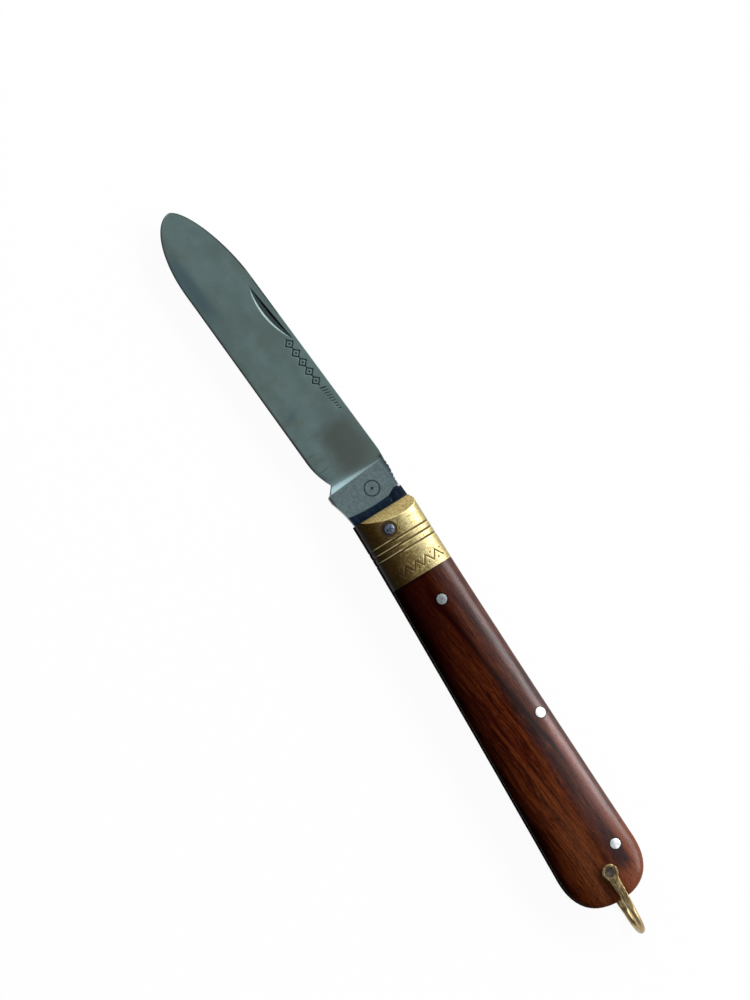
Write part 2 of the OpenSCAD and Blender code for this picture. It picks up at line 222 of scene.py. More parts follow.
class Nodes:
    """A node tree that is being made."""

    def __init__(self, tree):
        self.tree = tree
        self.tree.nodes.clear()

    def node(self, kind, settings=None, inputs=None, output=0):
        """Adds a node with its settings, and the values or links of its sockets."""
        made = self.tree.nodes.new("ShaderNode" + kind)
        for name, value in (settings or {}).items():
            if name == "stops":
                self.set_stops(made.color_ramp, value)
            else:
                setattr(made, name, value)
        pairs = inputs.items() if isinstance(inputs, dict) else enumerate(inputs or [])
        for name, value in pairs:
            if isinstance(value, Value):
                self.tree.links.new(value.socket, made.inputs[name])
            else:
                made.inputs[name].default_value = value
        return Value(self, made.outputs[output]) if made.outputs else None

    @staticmethod
    def set_stops(ramp, stops):
        while len(ramp.elements) < len(stops):
            ramp.elements.new(1.0)
        for element, (position, colour) in zip(ramp.elements, stops):
            element.position = position
            element.color = colour

    def mix(self, first, second, share):
        """Colours from first, at a share of 0, to second, at 1."""
        first, second = (c if isinstance(c, Value) else paint(*c) for c in (first, second))
        return self.node(
            "Mix", {"data_type": "RGBA"}, {0: share, 6: first, 7: second}, output=2
        )

    def colours(self, value, stops):
        """The colour on a ramp of (position, colour) at a value."""
        painted = [(position, paint(*colour)) for position, colour in stops]
        return self.node("ValToRGB", {"stops": painted}, {"Fac": value})


print("mid grey on a screen is", round(paint(128, 128, 128)[0], 3), "for a socket")


# %% Finishes
class Finish(Nodes):
    """A material that is being made, with its colour so far."""

    def __init__(self, name, turn=0.0):
        self.colour = None
        self.material = bpy.data.materials.new(name)
        self.material.use_nodes = True
        super().__init__(self.material.node_tree)
        place = self.node("TexCoord", output="Object")
        self.place = self.node(
            "Mapping",
            {"vector_type": "TEXTURE"},
            {"Vector": place, "Location": pivot, "Rotation": (0, 0, turn), "Scale": (MM, MM, MM)},
        )
        self.x, self.y, self.z = (
            self.node("SeparateXYZ", {}, {"Vector": self.place}, output=axis) for axis in "XYZ"
        )

    def noise(self, stretch, detail=3.0, roughness=0.55, shift=0.0, place=None):
        """Noise whose patches measure one over stretch, in millimetres, along each axis."""
        scaled = self.node(
            "VectorMath",
            {"operation": "MULTIPLY_ADD"},
            [place or self.place, stretch, (shift, shift, shift)],
        )
        return self.node(
            "TexNoise", {}, {"Vector": scaled, "Scale": 1.0, "Detail": detail, "Roughness": roughness}
        )

    def lay(self, colour, share):
        """Lays a colour on the finish, as thick as share says."""
        self.colour = self.mix(self.colour, colour, share)

    def attribute(self, name):
        return self.node("Attribute", {"attribute_name": name}, output="Fac")

    def near(self, x, y):
        """Distance from an upright line at x and y."""
        across_x = self.x - x
        across_y = self.y - y
        return (across_x * across_x + across_y * across_y).power(0.5)

    def relief(self, height, depth):
        """A bump whose height runs from 0 to 1 over depth millimetres."""
        return self.node("Bump", {}, {"Height": height, "Distance": depth * MM}, output="Normal")

    def done(self, **sockets):
        """Closes the material: each socket of the shader is named with its value."""
        inputs = {name.replace("_", " "): value for name, value in sockets.items()}
        shader = self.node("BsdfPrincipled", {}, {"Base Color": self.colour, **inputs})
        self.node("OutputMaterial", {}, {"Surface": shader})
        return self.material


print("finishes can be made")

# %% [markdown]
# The floor is a plain pale sheet. It is white to the camera and in reflections, and its
# diffuse share keeps the knife's soft shadow. The room is dark towards the cutting edge and
# grows bright towards the spine, where a window stands low: on the crowned handle it gives
# the long glossy band. A smaller lamp beyond the tip lights the hollow of the grind.

# %% Floor
floor_half = 3.0
floor_white_share = 0.95


def floor_finish():
    finish = Finish("floor_paper")
    seen = finish.node("LightPath", output="Is Camera Ray")
    mirrored = finish.node("LightPath", output="Is Glossy Ray")
    through = finish.node("LightPath", output="Is Transmission Ray")
    direct = seen.most(mirrored).most(through) * floor_white_share
    matt = finish.node("BsdfDiffuse", {}, {"Color": paint(240, 240, 240)})
    white = finish.node("Emission", {}, {"Color": paint(255, 255, 255), "Strength": 1.0})
    both = finish.node("MixShader", {}, [direct, matt, white])
    finish.node("OutputMaterial", {}, {"Surface": both})
    return finish.material


floor_mesh = bmesh.new()
bmesh.ops.create_grid(floor_mesh, x_segments=1, y_segments=1, size=floor_half)
floor_data = bpy.data.meshes.new("floor")
floor_mesh.to_mesh(floor_data)
floor_mesh.free()
floor = bpy.data.objects.new("floor", floor_data)
floor.location.z = cad_low.z
floor_data.materials.append(floor_finish())
scene.collection.objects.link(floor)
print("floor is", 2 * floor_half, "m wide")


# %% World and lamps
def softbox(name, lean_x, lean_y, reach, width, depth, radiance, colour):
    """A lamp panel that leans from the zenith by two angles, at a distance in metres."""
    lean = Vector((math.tan(math.radians(lean_x)), math.tan(math.radians(lean_y)), 1))
    direction = lean.normalized()
    data = bpy.data.lights.new(name, "AREA")
    data.shape = "RECTANGLE"
    data.size = width
    data.size_y = depth
    data.energy = radiance * math.pi * width * depth
    data.color = colour
    lamp = bpy.data.objects.new(name, data)
    turn = direction.to_track_quat("Z", "Y").to_matrix().to_4x4()
    lamp.matrix_world = Matrix.Translation(direction * reach) @ turn
    lamp.visible_camera = False
    scene.collection.objects.link(lamp)


def room():
    """The world's light, which depends on the direction towards the spine's side."""
    world = Nodes(scene.world.node_tree)
    direction = world.node("TexCoord", output="Generated")
    spine_side = world.node("SeparateXYZ", {}, {"Vector": direction}, output="Y")
    level = 0.28 + 0.38 * spine_side.ramp(-0.35, 0.5) + 0.9 * spine_side.ramp(0.5, 0.9)
    light = world.node("Background", {}, {"Color": (0.94, 0.98, 1.0, 1), "Strength": level})
    world.node("OutputWorld", {}, {"Surface": light})


scene.world = bpy.data.worlds.new("studio")
scene.world.use_nodes = True
room()
scene.view_settings.view_transform = "Standard"

softbox("window", 0, 47.5, 1.3, 1.6, 0.46, 6.6, (1.0, 0.94, 0.95))
softbox("beyond_tip", -60, 0, 1.3, 0.5, 1.4, 1.3, (0.93, 0.98, 1.0))
print("world and", len(bpy.data.lights), "lamps are in place")

# %% [markdown]
# Most pieces of the knife are skins: one ring of points after another along the piece. A
# grid already has that order, so each point of a fresh grid is carried to its place by a
# formula, and the seams are merged. Flat pieces are outlines that are pulled up and
# bevelled, and pins are turned like on a lathe.

# %% Skins and plates
def skin(us, vs, place):
    """A grid with a point for each u and v, carried to place(u, v), with its seams closed."""
    bm = bmesh.new()
    bmesh.ops.create_grid(bm, x_segments=len(us) - 1, y_segments=len(vs) - 1, size=1)
    for vert in bm.verts:
        i = round((vert.co.x + 1) / 2 * (len(us) - 1))
        j = round((vert.co.y + 1) / 2 * (len(vs) - 1))
        vert.co = place(us[i], vs[j])
    return closed(bm)


def closed(bm, seam=2e-5):
    """Merges seams and poles, fills flat ends, and turns the faces outwards."""
    bmesh.ops.remove_doubles(bm, verts=bm.verts, dist=seam)
    rims = [edge for edge in bm.edges if edge.is_boundary]
    if rims:
        bmesh.ops.holes_fill(bm, edges=rims)
    bmesh.ops.recalc_face_normals(bm, faces=bm.faces)
    return bm


def rounded(bm, edges, width, segments=2):
    """Bevels the edges by a width."""
    bmesh.ops.bevel(
        bm, geom=edges, offset=width, offset_type="OFFSET", segments=segments,
        profile=0.5, affect="EDGES", material=-1,
    )
    return bm


def plate(points, low, high, width=0.06, keep=None):
    """An outline pulled up from low to high, with bevelled rims where keep is not true."""
    bm = bmesh.new()
    face = bm.faces.new([bm.verts.new((x, y, low)) for x, y in points])
    pulled = bmesh.ops.extrude_face_region(bm, geom=[face])["geom"]
    lifted = [part for part in pulled if isinstance(part, bmesh.types.BMVert)]
    bmesh.ops.translate(bm, verts=lifted, vec=(0, 0, high - low))
    closed(bm)
    flat = [edge for edge in bm.edges if abs(edge.verts[0].co.z - edge.verts[1].co.z) < 1e-6]
    rims = [edge for edge in flat if not (keep and keep(edge))]
    return rounded(bm, rims, width)


print("skins and plates can be made")


# %% Moving, turning, joining and cutting
def moved(bm, turn=0.0, size=1.0, shift=(0, 0, 0)):
    """Scales a mesh, turns it about the upright axis and shifts it."""
    place = Matrix.Translation(shift) @ Matrix.Rotation(turn, 4, "Z") @ Matrix.Scale(size, 4)
    bmesh.ops.transform(bm, matrix=place, verts=bm.verts)
    return bm


def lathe(profile, centre, steps=56):
    """A profile of (radius, height) points turned about an upright line."""
    bm = bmesh.new()
    points = [bm.verts.new((radius, 0, height)) for radius, height in profile]
    lines = [bm.edges.new(pair) for pair in zip(points, points[1:])]
    bmesh.ops.spin(
        bm, geom=points + lines, cent=(0, 0, 0), axis=(0, 0, 1),
        angle=2 * math.pi, steps=steps, use_merge=True,
    )
    return closed(moved(bm, shift=(centre[0], centre[1], 0)))


def joined(*parts):
    """One mesh of several."""
    bm = bmesh.new()
    for part in parts:
        mesh = bpy.data.meshes.new("part")
        part.to_mesh(mesh)
        part.free()
        bm.from_mesh(mesh)
        bpy.data.meshes.remove(mesh)
    return bm


def cut(bm, tool):
    """Takes the space of a tool out of a mesh."""
    objects = []
    for name, source in (("stock", bm), ("tool", tool)):
        mesh = bpy.data.meshes.new(name)
        source.to_mesh(mesh)
        source.free()
        objects.append(bpy.data.objects.new(name, mesh))
        scene.collection.objects.link(objects[-1])
    stock, cutter = objects
    modifier = stock.modifiers.new("cut", "BOOLEAN")
    modifier.object = cutter
    modifier.operation = "DIFFERENCE"
    modifier.solver = "EXACT"
    depsgraph = bpy.context.evaluated_depsgraph_get()
    result = bpy.data.meshes.new_from_object(stock.evaluated_get(depsgraph))
    bm = bmesh.new()
    bm.from_mesh(result)
    for made in objects:
        bpy.data.objects.remove(made)
    return bm


def mirrored(bm):
    """The same piece for the far side of the knife."""
    bmesh.ops.scale(bm, vec=(1, 1, -1), verts=bm.verts)
    bmesh.ops.recalc_face_normals(bm, faces=bm.faces)
    return bm


print("meshes can be turned, joined and cut")


# %% A finished piece
def with_marks(bm, mark):
    """Keeps mark(point) in each point, for the finish to darken what lies deep: soiled hollows and
    painted shade.
    """
    layer = bm.verts.layers.float.new("dirt")
    for vert in bm.verts:
        vert[layer] = mark(vert.co)
    return bm


def settle(name, bm, node, material, turn=0.0, sharp=32):
    """Carries a piece into the frame, where it hangs from its CAD node's body and hides that node."""
    mesh = bpy.data.meshes.new(name)
    moved(bm, turn, MM, pivot).to_mesh(mesh)
    bm.free()
    mesh.shade_smooth()
    mesh.set_sharp_from_angle(angle=math.radians(sharp))
    mesh.materials.append(material)
    piece = bpy.data.objects.new(name, mesh)
    scene.collection.objects.link(piece)
    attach(piece, frame["nodes"][node]["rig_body"])
    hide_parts(node)
    print(name, "has", len(mesh.polygons), "faces")


# %% Steps and curves
def spread(start, end, step):
    """Evenly spaced values from start to end, no more than step apart."""
    count = max(1, math.ceil(abs(end - start) / step))
    return [start + (end - start) * i / count for i in range(count + 1)]


def in_order(*lists):
    """All values of the lists, sorted, without near doubles."""
    values = sorted(value for values in lists for value in values)
    return [b for a, b in zip([-math.inf, *values], values) if b - a > 1e-4]


def arc(centre, radius, start, end, steps):
    """Points along an arc, with its angles in degrees."""
    turns = [math.radians(start + (end - start) * i / steps) for i in range(steps + 1)]
    return [
        (centre[0] + radius * math.cos(a), centre[1] + radius * math.sin(a)) for a in turns
    ]


def clamp(value, low=0.0, high=1.0):
    return min(high, max(low, value))


def round_off(share, power):
    """Quarter of a rounded square: 1 at a share of 0, and 0 at 1."""
    return (1 - clamp(share) ** power) ** (1 / power)


print("half of a round corner is", round(round_off(0.5, 2), 3), "high")

# %% [markdown]
# ## Blade
# The real blade is forged, then ground thin towards its edge on a wheel, which leaves a
# hollow where the grind starts. A box cut to shape would miss that, so the ground part is a
# skin: columns run from the round tip to the grind line, and rows from the edge to the
# spine. One row follows the upper wall of the nail nick exactly, so the wall stays crisp.

# %% Sizes of the blade
blade_len = 93.6
edge_drop = 5.8
spine_rise = 9.85
flare = 0.35
half_blade = 1.15
half_edge = 0.1
tip_rise = 2.5
belly_len = 19.0
point_len = 23.0
belly_power = 2.0
point_power = 1.67
grind_power = 0.9
blade_lean = math.radians(4.6)
grind_x = -14.9
hollow_w = 2.2
choil_x = grind_x - 1.9
choil_h = 1.7
choil_run = 8.0
choil_power = 2.1
kick_r = 0.7
kick = (grind_x + kick_r, -6.15)
tang_dip = 0.3
spine_bevel = 0.12
edge_sharp = 0.03
edge_slope = 0.28
blunt_x = -18.6
blunt_slope = 2

nick_x = -59.4
nick_y = 8.57
nick_half = 8.4
nick_h = 2.0
nick_slope = math.tan(math.radians(3.9))
nick_r = (nick_half**2 + nick_h**2) / (2 * nick_h)
nick_fall = 0.3
nick_zone = (-69.0, -50.0)
wall_gap = 0.02

edge_x = blade_len - belly_len
point_x = blade_len - point_len
blade_h = spine_rise + edge_drop + 2 * flare
print("blade", blade_len, "mm from the pivot to the tip, and", round(blade_h, 2), "mm wide")


# %% Borders and thickness of the blade
def widening(x):
    return flare * clamp((x + point_x) / (point_x + grind_x))


def edge_y(x):
    curve = round_off((-x - edge_x) / belly_len, belly_power)
    return tip_rise - widening(x) - (tip_rise + edge_drop) * curve


def spine_y(x):
    curve = round_off((-x - point_x) / point_len, point_power)
    dip = tang_dip * max(0.0, 1 + (x - grind_x) / hollow_w)
    return tip_rise + widening(x) + (spine_rise - tip_rise) * curve - dip


def notch_y(x):
    """The edge, with the notch that rises slowly and falls to the kick."""
    if x <= choil_x:
        return edge_y(x) + choil_h * max(0.0, 1 - (choil_x - x) / choil_run) ** choil_power
    top = edge_y(choil_x) + choil_h
    return top + (kick[1] - top) * (x - choil_x) / (grind_x - choil_x)


def ground_z(x, y):
    """Half the blade's thickness at a point of its side."""
    above = max(0.0, y - edge_y(x))
    flat = half_edge + (half_blade - half_edge) * (above / blade_h) ** grind_power
    share = above / max(1e-6, spine_y(x) - edge_y(x))
    hollow = max(0.0, 1 + (x - grind_x) / (hollow_w * (1 - 0.85 * share)))
    side = flat + (half_blade - flat) * min(1.0, hollow) ** 2
    unsharpened = max(0.0, x - blunt_x) * blunt_slope
    return min(side, edge_sharp + edge_slope * (y - notch_y(x)) + unsharpened)


print("spine is", round(2 * ground_z(-50, spine_y(-50)), 2), "mm thick at the nail nick")

# %% [markdown]
# A row of lozenges and dots decorates the blade beside the nail nick, and short slanting
# strokes, a common filler of knife makers, end it. Both are cut a few hundredths deep, and
# each point remembers how deep it lies.

# %% Nail nick and punch work
strokes_from = -37.2
strokes_pitch = 0.8
strokes_count = 9
stroke_half = 0.15
stroke_slant = 0.35
lozenge_from = -50.6
lozenge_pitch = 2.75
lozenge_count = 5
lozenge_half = 1.1
mark_y = 7.6
mark_depth = 0.06


def line_mark(distance, half):
    """1 on a punched line, falling to 0 at its border."""
    return clamp(1.6 - 1.6 * abs(distance) / half)


def punch_work(x, y):
    """How deep the ornament of the blade is at a point, from 0 to 1."""
    mark = 0.0
    for k in range(strokes_count):
        length = 0.95 - 0.05 * k
        rise = y - (8.0 + 0.06 * k)
        if abs(rise) < length:
            ends = min(1.0, (length - abs(rise)) / 0.3)
            half = stroke_half * (1.4 if k == 0 else 1.0)
            middle = strokes_from + k * strokes_pitch + stroke_slant * rise
            mark = max(mark, ends * line_mark(x - middle, half))
    for k in range(lozenge_count):
        dx = abs(x - lozenge_from - k * lozenge_pitch)
        dy = abs(y - mark_y)
        border = (dx + dy - lozenge_half) / math.sqrt(2)
        mark = max(mark, line_mark(border, 0.2), line_mark(math.hypot(dx, dy), 0.34))
        between = math.hypot(dx - lozenge_pitch / 2, dy)
        mark = max(mark, line_mark(between, 0.24))
    return mark


def nick_line(x):
    """Height of the nick's upper wall."""
    return nick_y + (x - nick_x) * nick_slope


def nick_depth(x, y):
    """How deep the nail nick is: a cone, cut off along its upper wall."""
    rise = y - nick_line(x)
    if rise > wall_gap / 2:
        return 0.0
    radius = math.hypot(x - nick_x, rise - (nick_r - nick_h))
    return max(0.0, nick_r - radius) * nick_fall


def nick_mark(x, y):
    """1 on the deep part of the nick, which gets painted shadow, and -1 on its low rim, which gets a
    painted highlight.
    """
    depth = nick_depth(x, y)
    share = depth / max(1e-6, nick_depth(x, nick_line(x)))
    return clamp((share - 0.16) * 6, -1.0) if depth > 0.01 else 0.0


# %% Ground part of the blade
coarse_share = 0.66
tip_columns = 64
tip_start = math.asin((70 - point_x) / point_len)


def row_height(x, zone, share):
    """Height of a row of the skin above the lower border of the blade."""
    low = notch_y(x)
    high = spine_y(x)
    at = clamp(x, *nick_zone)
    wall_share = (nick_line(at) - edge_y(at)) / (spine_y(at) - edge_y(at))
    wall = wall_share * (high - low)
    top = high - low
    coarse = coarse_share * top
    if zone == "edge":
        return coarse * share
    if zone == "marks":
        return coarse + (wall - coarse) * share
    bevel = min(spine_bevel, top * 0.02)
    if zone == "ledge":
        return wall + wall_gap + (top - bevel - wall - wall_gap) * share
    return top


def blade_point(x, row):
    """A point of the blade: front rows run up from the edge, and back rows down to it."""
    side, zone, share = row
    y = notch_y(x) + row_height(x, zone, share)
    z = ground_z(x, y)
    if zone == "spine":
        z = max(0.0, z - spine_bevel)
    if side > 0:
        z = max(0.02, z - nick_depth(x, y) - mark_depth * punch_work(x, y))
    return Vector((x, y, side * z))


front_rows = [(1, "edge", (i / 22) ** 1.25) for i in range(23)]
front_rows += [(1, "marks", i / 38) for i in range(1, 39)]
front_rows += [(1, "ledge", i / 9) for i in range(10)]
back_rows = [(-1, "ledge", 1.0), (-1, "ledge", 0.5), (-1, "ledge", 0.0)]
back_rows += [(-1, "marks", i / 5) for i in range(4, 0, -1)]
back_rows += [(-1, "edge", (i / 14) ** 1.25) for i in range(14, -1, -1)]
ring = [*front_rows, (1, "spine", 1.0), (-1, "spine", 1.0), *back_rows, front_rows[0]]

tip_xs = [
    -point_x - point_len * math.sin(tip_start + (math.pi / 2 - tip_start) * i / tip_columns)
    for i in range(tip_columns + 1)
]
notch_xs = [choil_x - choil_run * i / 16 for i in range(17)]
root_xs = spread(choil_x, grind_x, 0.12)
columns = in_order(tip_xs, spread(-70, -28, 0.12), spread(-28, choil_x, 0.5), notch_xs, root_xs)
ground_part = skin(columns, ring, blade_point)
print("ground part:", len(columns), "columns of", len(ring), "rows")

# %% [markdown]
# The tang is flat, so it is a plate: its outline has the kick, the round end that works the
# spring, and the step under the spring's nose. A few small notches roughen its spine, as
# on the real one. Its left border meets the ground part and stays unbevelled.

# %% Tang
cam_h = 5.0
cam_r = 5.5
cam_flats = (90, 3.5, -83)
fit = 0.03
spring_nose_x = box_mm("backspring")[0].x
toe_back = 1.2
toe_h = 2.2
tang_top = spine_rise + flare - tang_dip
tang_back = 9.15
tang_fall = 4.4
heel_x = 5.2
heel_drop = 5.6
heel_in = 3.4
heel_power = 1.7
pivot_r = 1.5
pivot_gap = 0.05
kick_end = -kick[0] - 1.3
notches = [(-14.2, 0.15), (-13.1, 0.22), (-11.9, 0.12), (-10.8, 0.2), (-9.6, 0.2), (-8.8, 0.12)]


print("tang is", round(tang_top - kick[1] + kick_r, 2), "mm wide at the kick")


# %% Outline of the tang
def upright(point, turn=blade_lean):
    """A point of the knife's frame, turned into the open blade's own, or another's."""
    c, s = math.cos(turn), math.sin(turn)
    return (point[0] * c + point[1] * s, point[1] * c - point[0] * s)


def back_of_tang(x):
    """Height of the tang's back, which falls towards the spring's nose."""
    share = (x - spring_nose_x) / tang_fall + 1
    return tang_top - (tang_top - tang_back) * clamp(share)


def heel_point(share):
    """A point of the tang's lower border, from the heel at 0 to the kick at 1."""
    fall = (kick_r - kick[1] - heel_drop) * share**heel_power
    return (-heel_x - (kick_end - heel_x) * share, -heel_drop - fall)


def tang_outline():
    nose = spring_nose_x - fit
    top = [(grind_x, tang_top)]
    for x, depth in notches:
        top += [(x - 0.3, back_of_tang(x - 0.3)), (x, back_of_tang(x) - depth)]
        top += [(x + 0.24, back_of_tang(x + 0.24))]
    head = (tang_back + nose * math.sin(blade_lean)) / math.cos(blade_lean)
    top += [upright(p) for p in ((nose, head), (nose, cam_h + toe_h), (nose + toe_back, cam_h - fit))]
    half_flat = math.degrees(math.acos((cam_h - fit) / cam_r))
    round_end = []
    for start, end in zip(cam_flats, cam_flats[1:]):
        round_end += [upright(p) for p in arc((0, 0), cam_r, start - half_flat, end + half_flat, 10)]
    last_corner = arc((0, 0), cam_r, cam_flats[-1] - half_flat, 0, 1)[0]
    round_end += [upright(last_corner), (-heel_in, fit - cam_h)]
    heel = [heel_point(i / 12) for i in range(13)]
    return top + round_end + heel + arc(kick, kick_r, -90, -180, 10)


def at_grind(edge):
    return all(abs(vert.co.x - grind_x) < 1e-3 for vert in edge.verts)


tang = plate(tang_outline(), -half_blade, half_blade, width=spine_bevel, keep=at_grind)
hole_r = pivot_r + pivot_gap
tang = cut(tang, lathe([(0, -3), (hole_r, -3), (hole_r, 3), (0, 3)], (0, 0)))
print("tang:", len(tang.faces), "faces")

# %% [markdown]
# Carbon steel that is used and wiped turns grey-green, with fine scratches across it from
# the wheel. Brown smudges stay where fingers rest. A thin dark line of painted shade runs
# along the edge, and painted shade along the rim of the tip. The hollow at the ricasso gets
# a painted highlight. Deep in the nail nick lies painted shadow, with a painted highlight on
# its low rim. A ring and a dot are scribed on the tang, whose end beside the bolster is
# painted nearly black. All of it is painted by distance in the blade's own frame, so that
# it follows the blade when it folds.

# %% Finish of the blade
scribed = (-10.4, 3.2)
scribed_r = 1.9
rim_x = -58.0


def blade_finish():
    steel = Finish("blade_steel", turn=blade_lean)
    x, y = steel.x, steel.y
    scratches = steel.noise((6.5, 0.16, 0.16), detail=4, roughness=0.6)
    fine = steel.noise((24, 0.5, 0.5), detail=2, shift=3.1)
    clouds = steel.noise((0.07, 0.16, 0.2), detail=2, shift=7.7)
    specks = steel.noise((1.6, 1.9, 1.5), detail=4, roughness=0.7, shift=1.7)
    blots = steel.noise((0.22, 0.16, 0.2), detail=3, roughness=0.6, shift=5.1)

    steel.colour = steel.mix((114, 134, 131), (123, 146, 144), clouds.ramp(0.3, 0.7))
    steel.lay((116, 130, 120), blots.ramp(0.5, 0.7) * 0.6)
    steel.lay((134, 154, 152), (1 - blots).ramp(0.52, 0.72) * 0.4)
    steel.lay((128, 148, 143), specks.ramp(0.5, 0.75) * 0.35)
    steel.lay((96, 116, 114), scratches.ramp(0.5, 0.8) * 0.35)
    shade = y.band(-5.4, -2.2, 1.2) * x.band(-85, -66, 5)
    rubbed = y.band(-4.4, -0.6, 1.6) * (x + y * 0.25).band(-37.4, -35.8, 1.2)
    shade = shade.most(rubbed * 0.7)
    steel.lay((90, 112, 120), shade * (0.5 + scratches * 0.5))
    smudge = (y + blots * 3).band(1.0, 10.5, 2.4) * (x + blots * 6).band(-26.0, -12.5, 3.0)
    steel.lay((99, 104, 98), smudge * (0.45 + scratches * 0.7))
    marks = scratches.ramp(0.52, 0.66) * y.band(-6.0, -2.6, 1.5) * x.band(-28, -18.5, 1.5)
    steel.lay((74, 92, 94), marks * 0.7)
    # Painted shade: a thin dark line along the edge bevel.
    edge_line = 1 - (y + edge_drop).ramp(0.0, 0.4)
    steel.lay((74, 66, 66), edge_line * x.ramp(-76, -62) * 0.85)

    # Painted highlight: the hollow at the ricasso is lighter, standing in for the reflection of the
    # lamp beyond the tip.
    across_hollow = (y + edge_drop) / blade_h
    into_hollow = (x - grind_x) / (hollow_w * (1.35 - 0.8 * across_hollow)) + 1
    bright = into_hollow.ramp(-0.1, 0.8) * (1.02 - 1.44 * across_hollow).most(0.0)
    steel.lay((164, 188, 193), bright)
    fall = (notch_y(grind_x) - notch_y(choil_x)) / (grind_x - choil_x)
    under = y - notch_y(choil_x) - fall * (x - choil_x)
    rim = (1 - under.ramp(0.12, 0.4)) * x.band(choil_x, grind_x, 0.15)
    tang_share = x.ramp(grind_x - 0.05, grind_x + 0.1)
    satin = steel.mix((104, 120, 122), (122, 139, 142), specks.ramp(0.35, 0.65))
    steel.lay(satin, tang_share)
    rim = rim.most((1 - (y - kick[1] + kick_r).ramp(0.0, 0.8)) * x.ramp(-15.2, -14.6))
    steel.lay((58, 46, 42), rim * 0.9)
    ragged = (y + specks * 1.6).ramp(spine_rise - 0.6, spine_rise + 0.6)
    steel.lay((44, 52, 58), ragged * x.band(-16, -8, 0.4) * 0.75)
    ring = steel.near(*scribed)
    scribe = ring.band(scribed_r - 0.16, scribed_r + 0.16, 0.1).most(1 - ring.ramp(0.25, 0.5))
    steel.lay((30, 38, 46), scribe * 0.85)
    # The tang's end beside the bolster is painted nearly black, in a band that follows the bolster's
    # front.
    knife_x = x * math.cos(blade_lean) - y * math.sin(blade_lean)
    border = knife_x + (y - 1) * (y - 1) * 0.013 + specks * 0.35
    black = border.ramp(-6.8, -6.5)
    near_black = steel.mix((22, 34, 48), (40, 54, 70), specks.ramp(0.4, 0.7))
    steel.lay(near_black, black)
    # The marks kept in the mesh: soiled punch work, painted shade along the tip's rim, painted shadow
    # deep in the nick, and below 0 a painted highlight on the nick's low rim.
    mark = steel.attribute("dirt")
    steel.lay((12, 18, 22), mark.ramp(0.1, 0.8) * 0.94)
    steel.lay((106, 122, 124), (-1 * mark).ramp(0.3, 0.9) * 0.8)

    dull = 0.26 + scratches * 0.12 + clouds * 0.06 + black * 0.1
    relief = scratches * 0.6 + fine * 0.4
    return steel.done(
        Metallic=1.0, Roughness=dull, Normal=steel.relief(relief, 0.003)
    )


def blade_dirt_and_shade(point):
    """The punch work, painted shade along the rim of the tip and painted shadow in the nick's foot,
    with a painted highlight on its rim below 0.
    """
    x, y = point.x, point.y
    if point.z < 0:
        return 0.0
    if x < rim_x and min(spine_y(x) - y, y - edge_y(x)) < 0.32:
        return 0.5
    return punch_work(x, y) or nick_mark(x, y)


whole_blade = with_marks(joined(ground_part, tang), blade_dirt_and_shade)
settle("blade_ground", whole_blade, "blade", blade_finish(), turn=blade_lean, sharp=20)

# %% [markdown]
# ## Handle
# Seen from above the handle widens towards the butt and ends in a squarish round. Seen
# from the end each half is a crown: a curve between an ellipse and a box. Both come from
# the same formula, with a higher power for the squarer curve. The crown's rows are spaced
# evenly along the curve, so that no facet shows at the shoulders.

# %% Outline and crown of the handle
front_w = 16.0
butt_w = scale_high.y - scale_low.y
butt_len = 11.7
butt_x = butt_end - butt_len
drop_len = 1.7 * butt_len
drop_x = butt_end - drop_len
taper_power = 1.28
butt_power = 2.4
drop_power = 3
crown_power = 2.75
crown_front = top_z - cover_z
scale_fall = 1.1
corner_len = 1.5
corner_w = 0.7
nose_top = axis_y + front_w / 2 - corner_w
nose_fall = 0.2


def half_width(x):
    wider = clamp(x / butt_x) ** taper_power
    full = front_w / 2 + (butt_w - front_w) / 2 * wider
    return full * round_off((x - butt_x) / butt_len, butt_power)


def crown_height(x):
    fall = scale_fall * max(0.0, x - joint_x) / (butt_x - joint_x)
    return (crown_front - fall) * round_off((x - drop_x) / drop_len, drop_power)


def crown_arc(width, height, angle):
    """A point of the crown's cross-section, for an angle from 0 to pi."""
    c, s = math.cos(angle), max(0.0, math.sin(angle))
    side = math.copysign(abs(c) ** (2 / crown_power), c)
    return width * side, height * s ** (2 / crown_power)


def even_angles(count):
    """Angles whose points lie evenly along the crown over the bolster."""
    fine = [math.pi * i / 6000 for i in range(6001)]
    points = [crown_arc(front_w / 2, crown_front, a) for a in fine]
    run = [0.0]
    for a, b in zip(points, points[1:]):
        run.append(run[-1] + math.dist(a, b))
    picked, k = [], 0
    for i in range(count + 1):
        while k < len(run) - 1 and run[k] < run[-1] * i / count:
            k += 1
        picked.append(fine[k])
    return picked


def crown_point(x, angle, sunk=0.0):
    y, z = crown_arc(half_width(x) - sunk, crown_height(x) - sunk, angle)
    return Vector((x, axis_y + y, cover_z + z))


def surface_z(x, y):
    """Height of the scale's crown over a point."""
    share = min(1.0, abs(y - axis_y) / half_width(x))
    return cover_z + crown_height(x) * (1 - share**crown_power) ** (1 / crown_power)


def crown_rows(count):
    """Rows over the crown and back along its flat underside."""
    over = [("over", angle) for angle in even_angles(count)]
    under = [("under", i / 6) for i in range(1, 6)]
    return [*over, *under, over[0]]


def under_point(x, share):
    width = half_width(x)
    return Vector((x, axis_y - width + 2 * width * share, cover_z))


print("handle is", round(butt_w, 2), "mm wide at the butt")

# %% [markdown]
# ## Bolsters
# The brass bolsters are filed: a flat facet in front, three grooves across, a sunk ring
# round the pivot pin. Grooves are rows of the skin that lie deeper, the facet is one cut
# by a plane, and the ring is cut with a round tool. Behind the grooves the front bolster
# has a border of zigzags and dots, cut by hand.

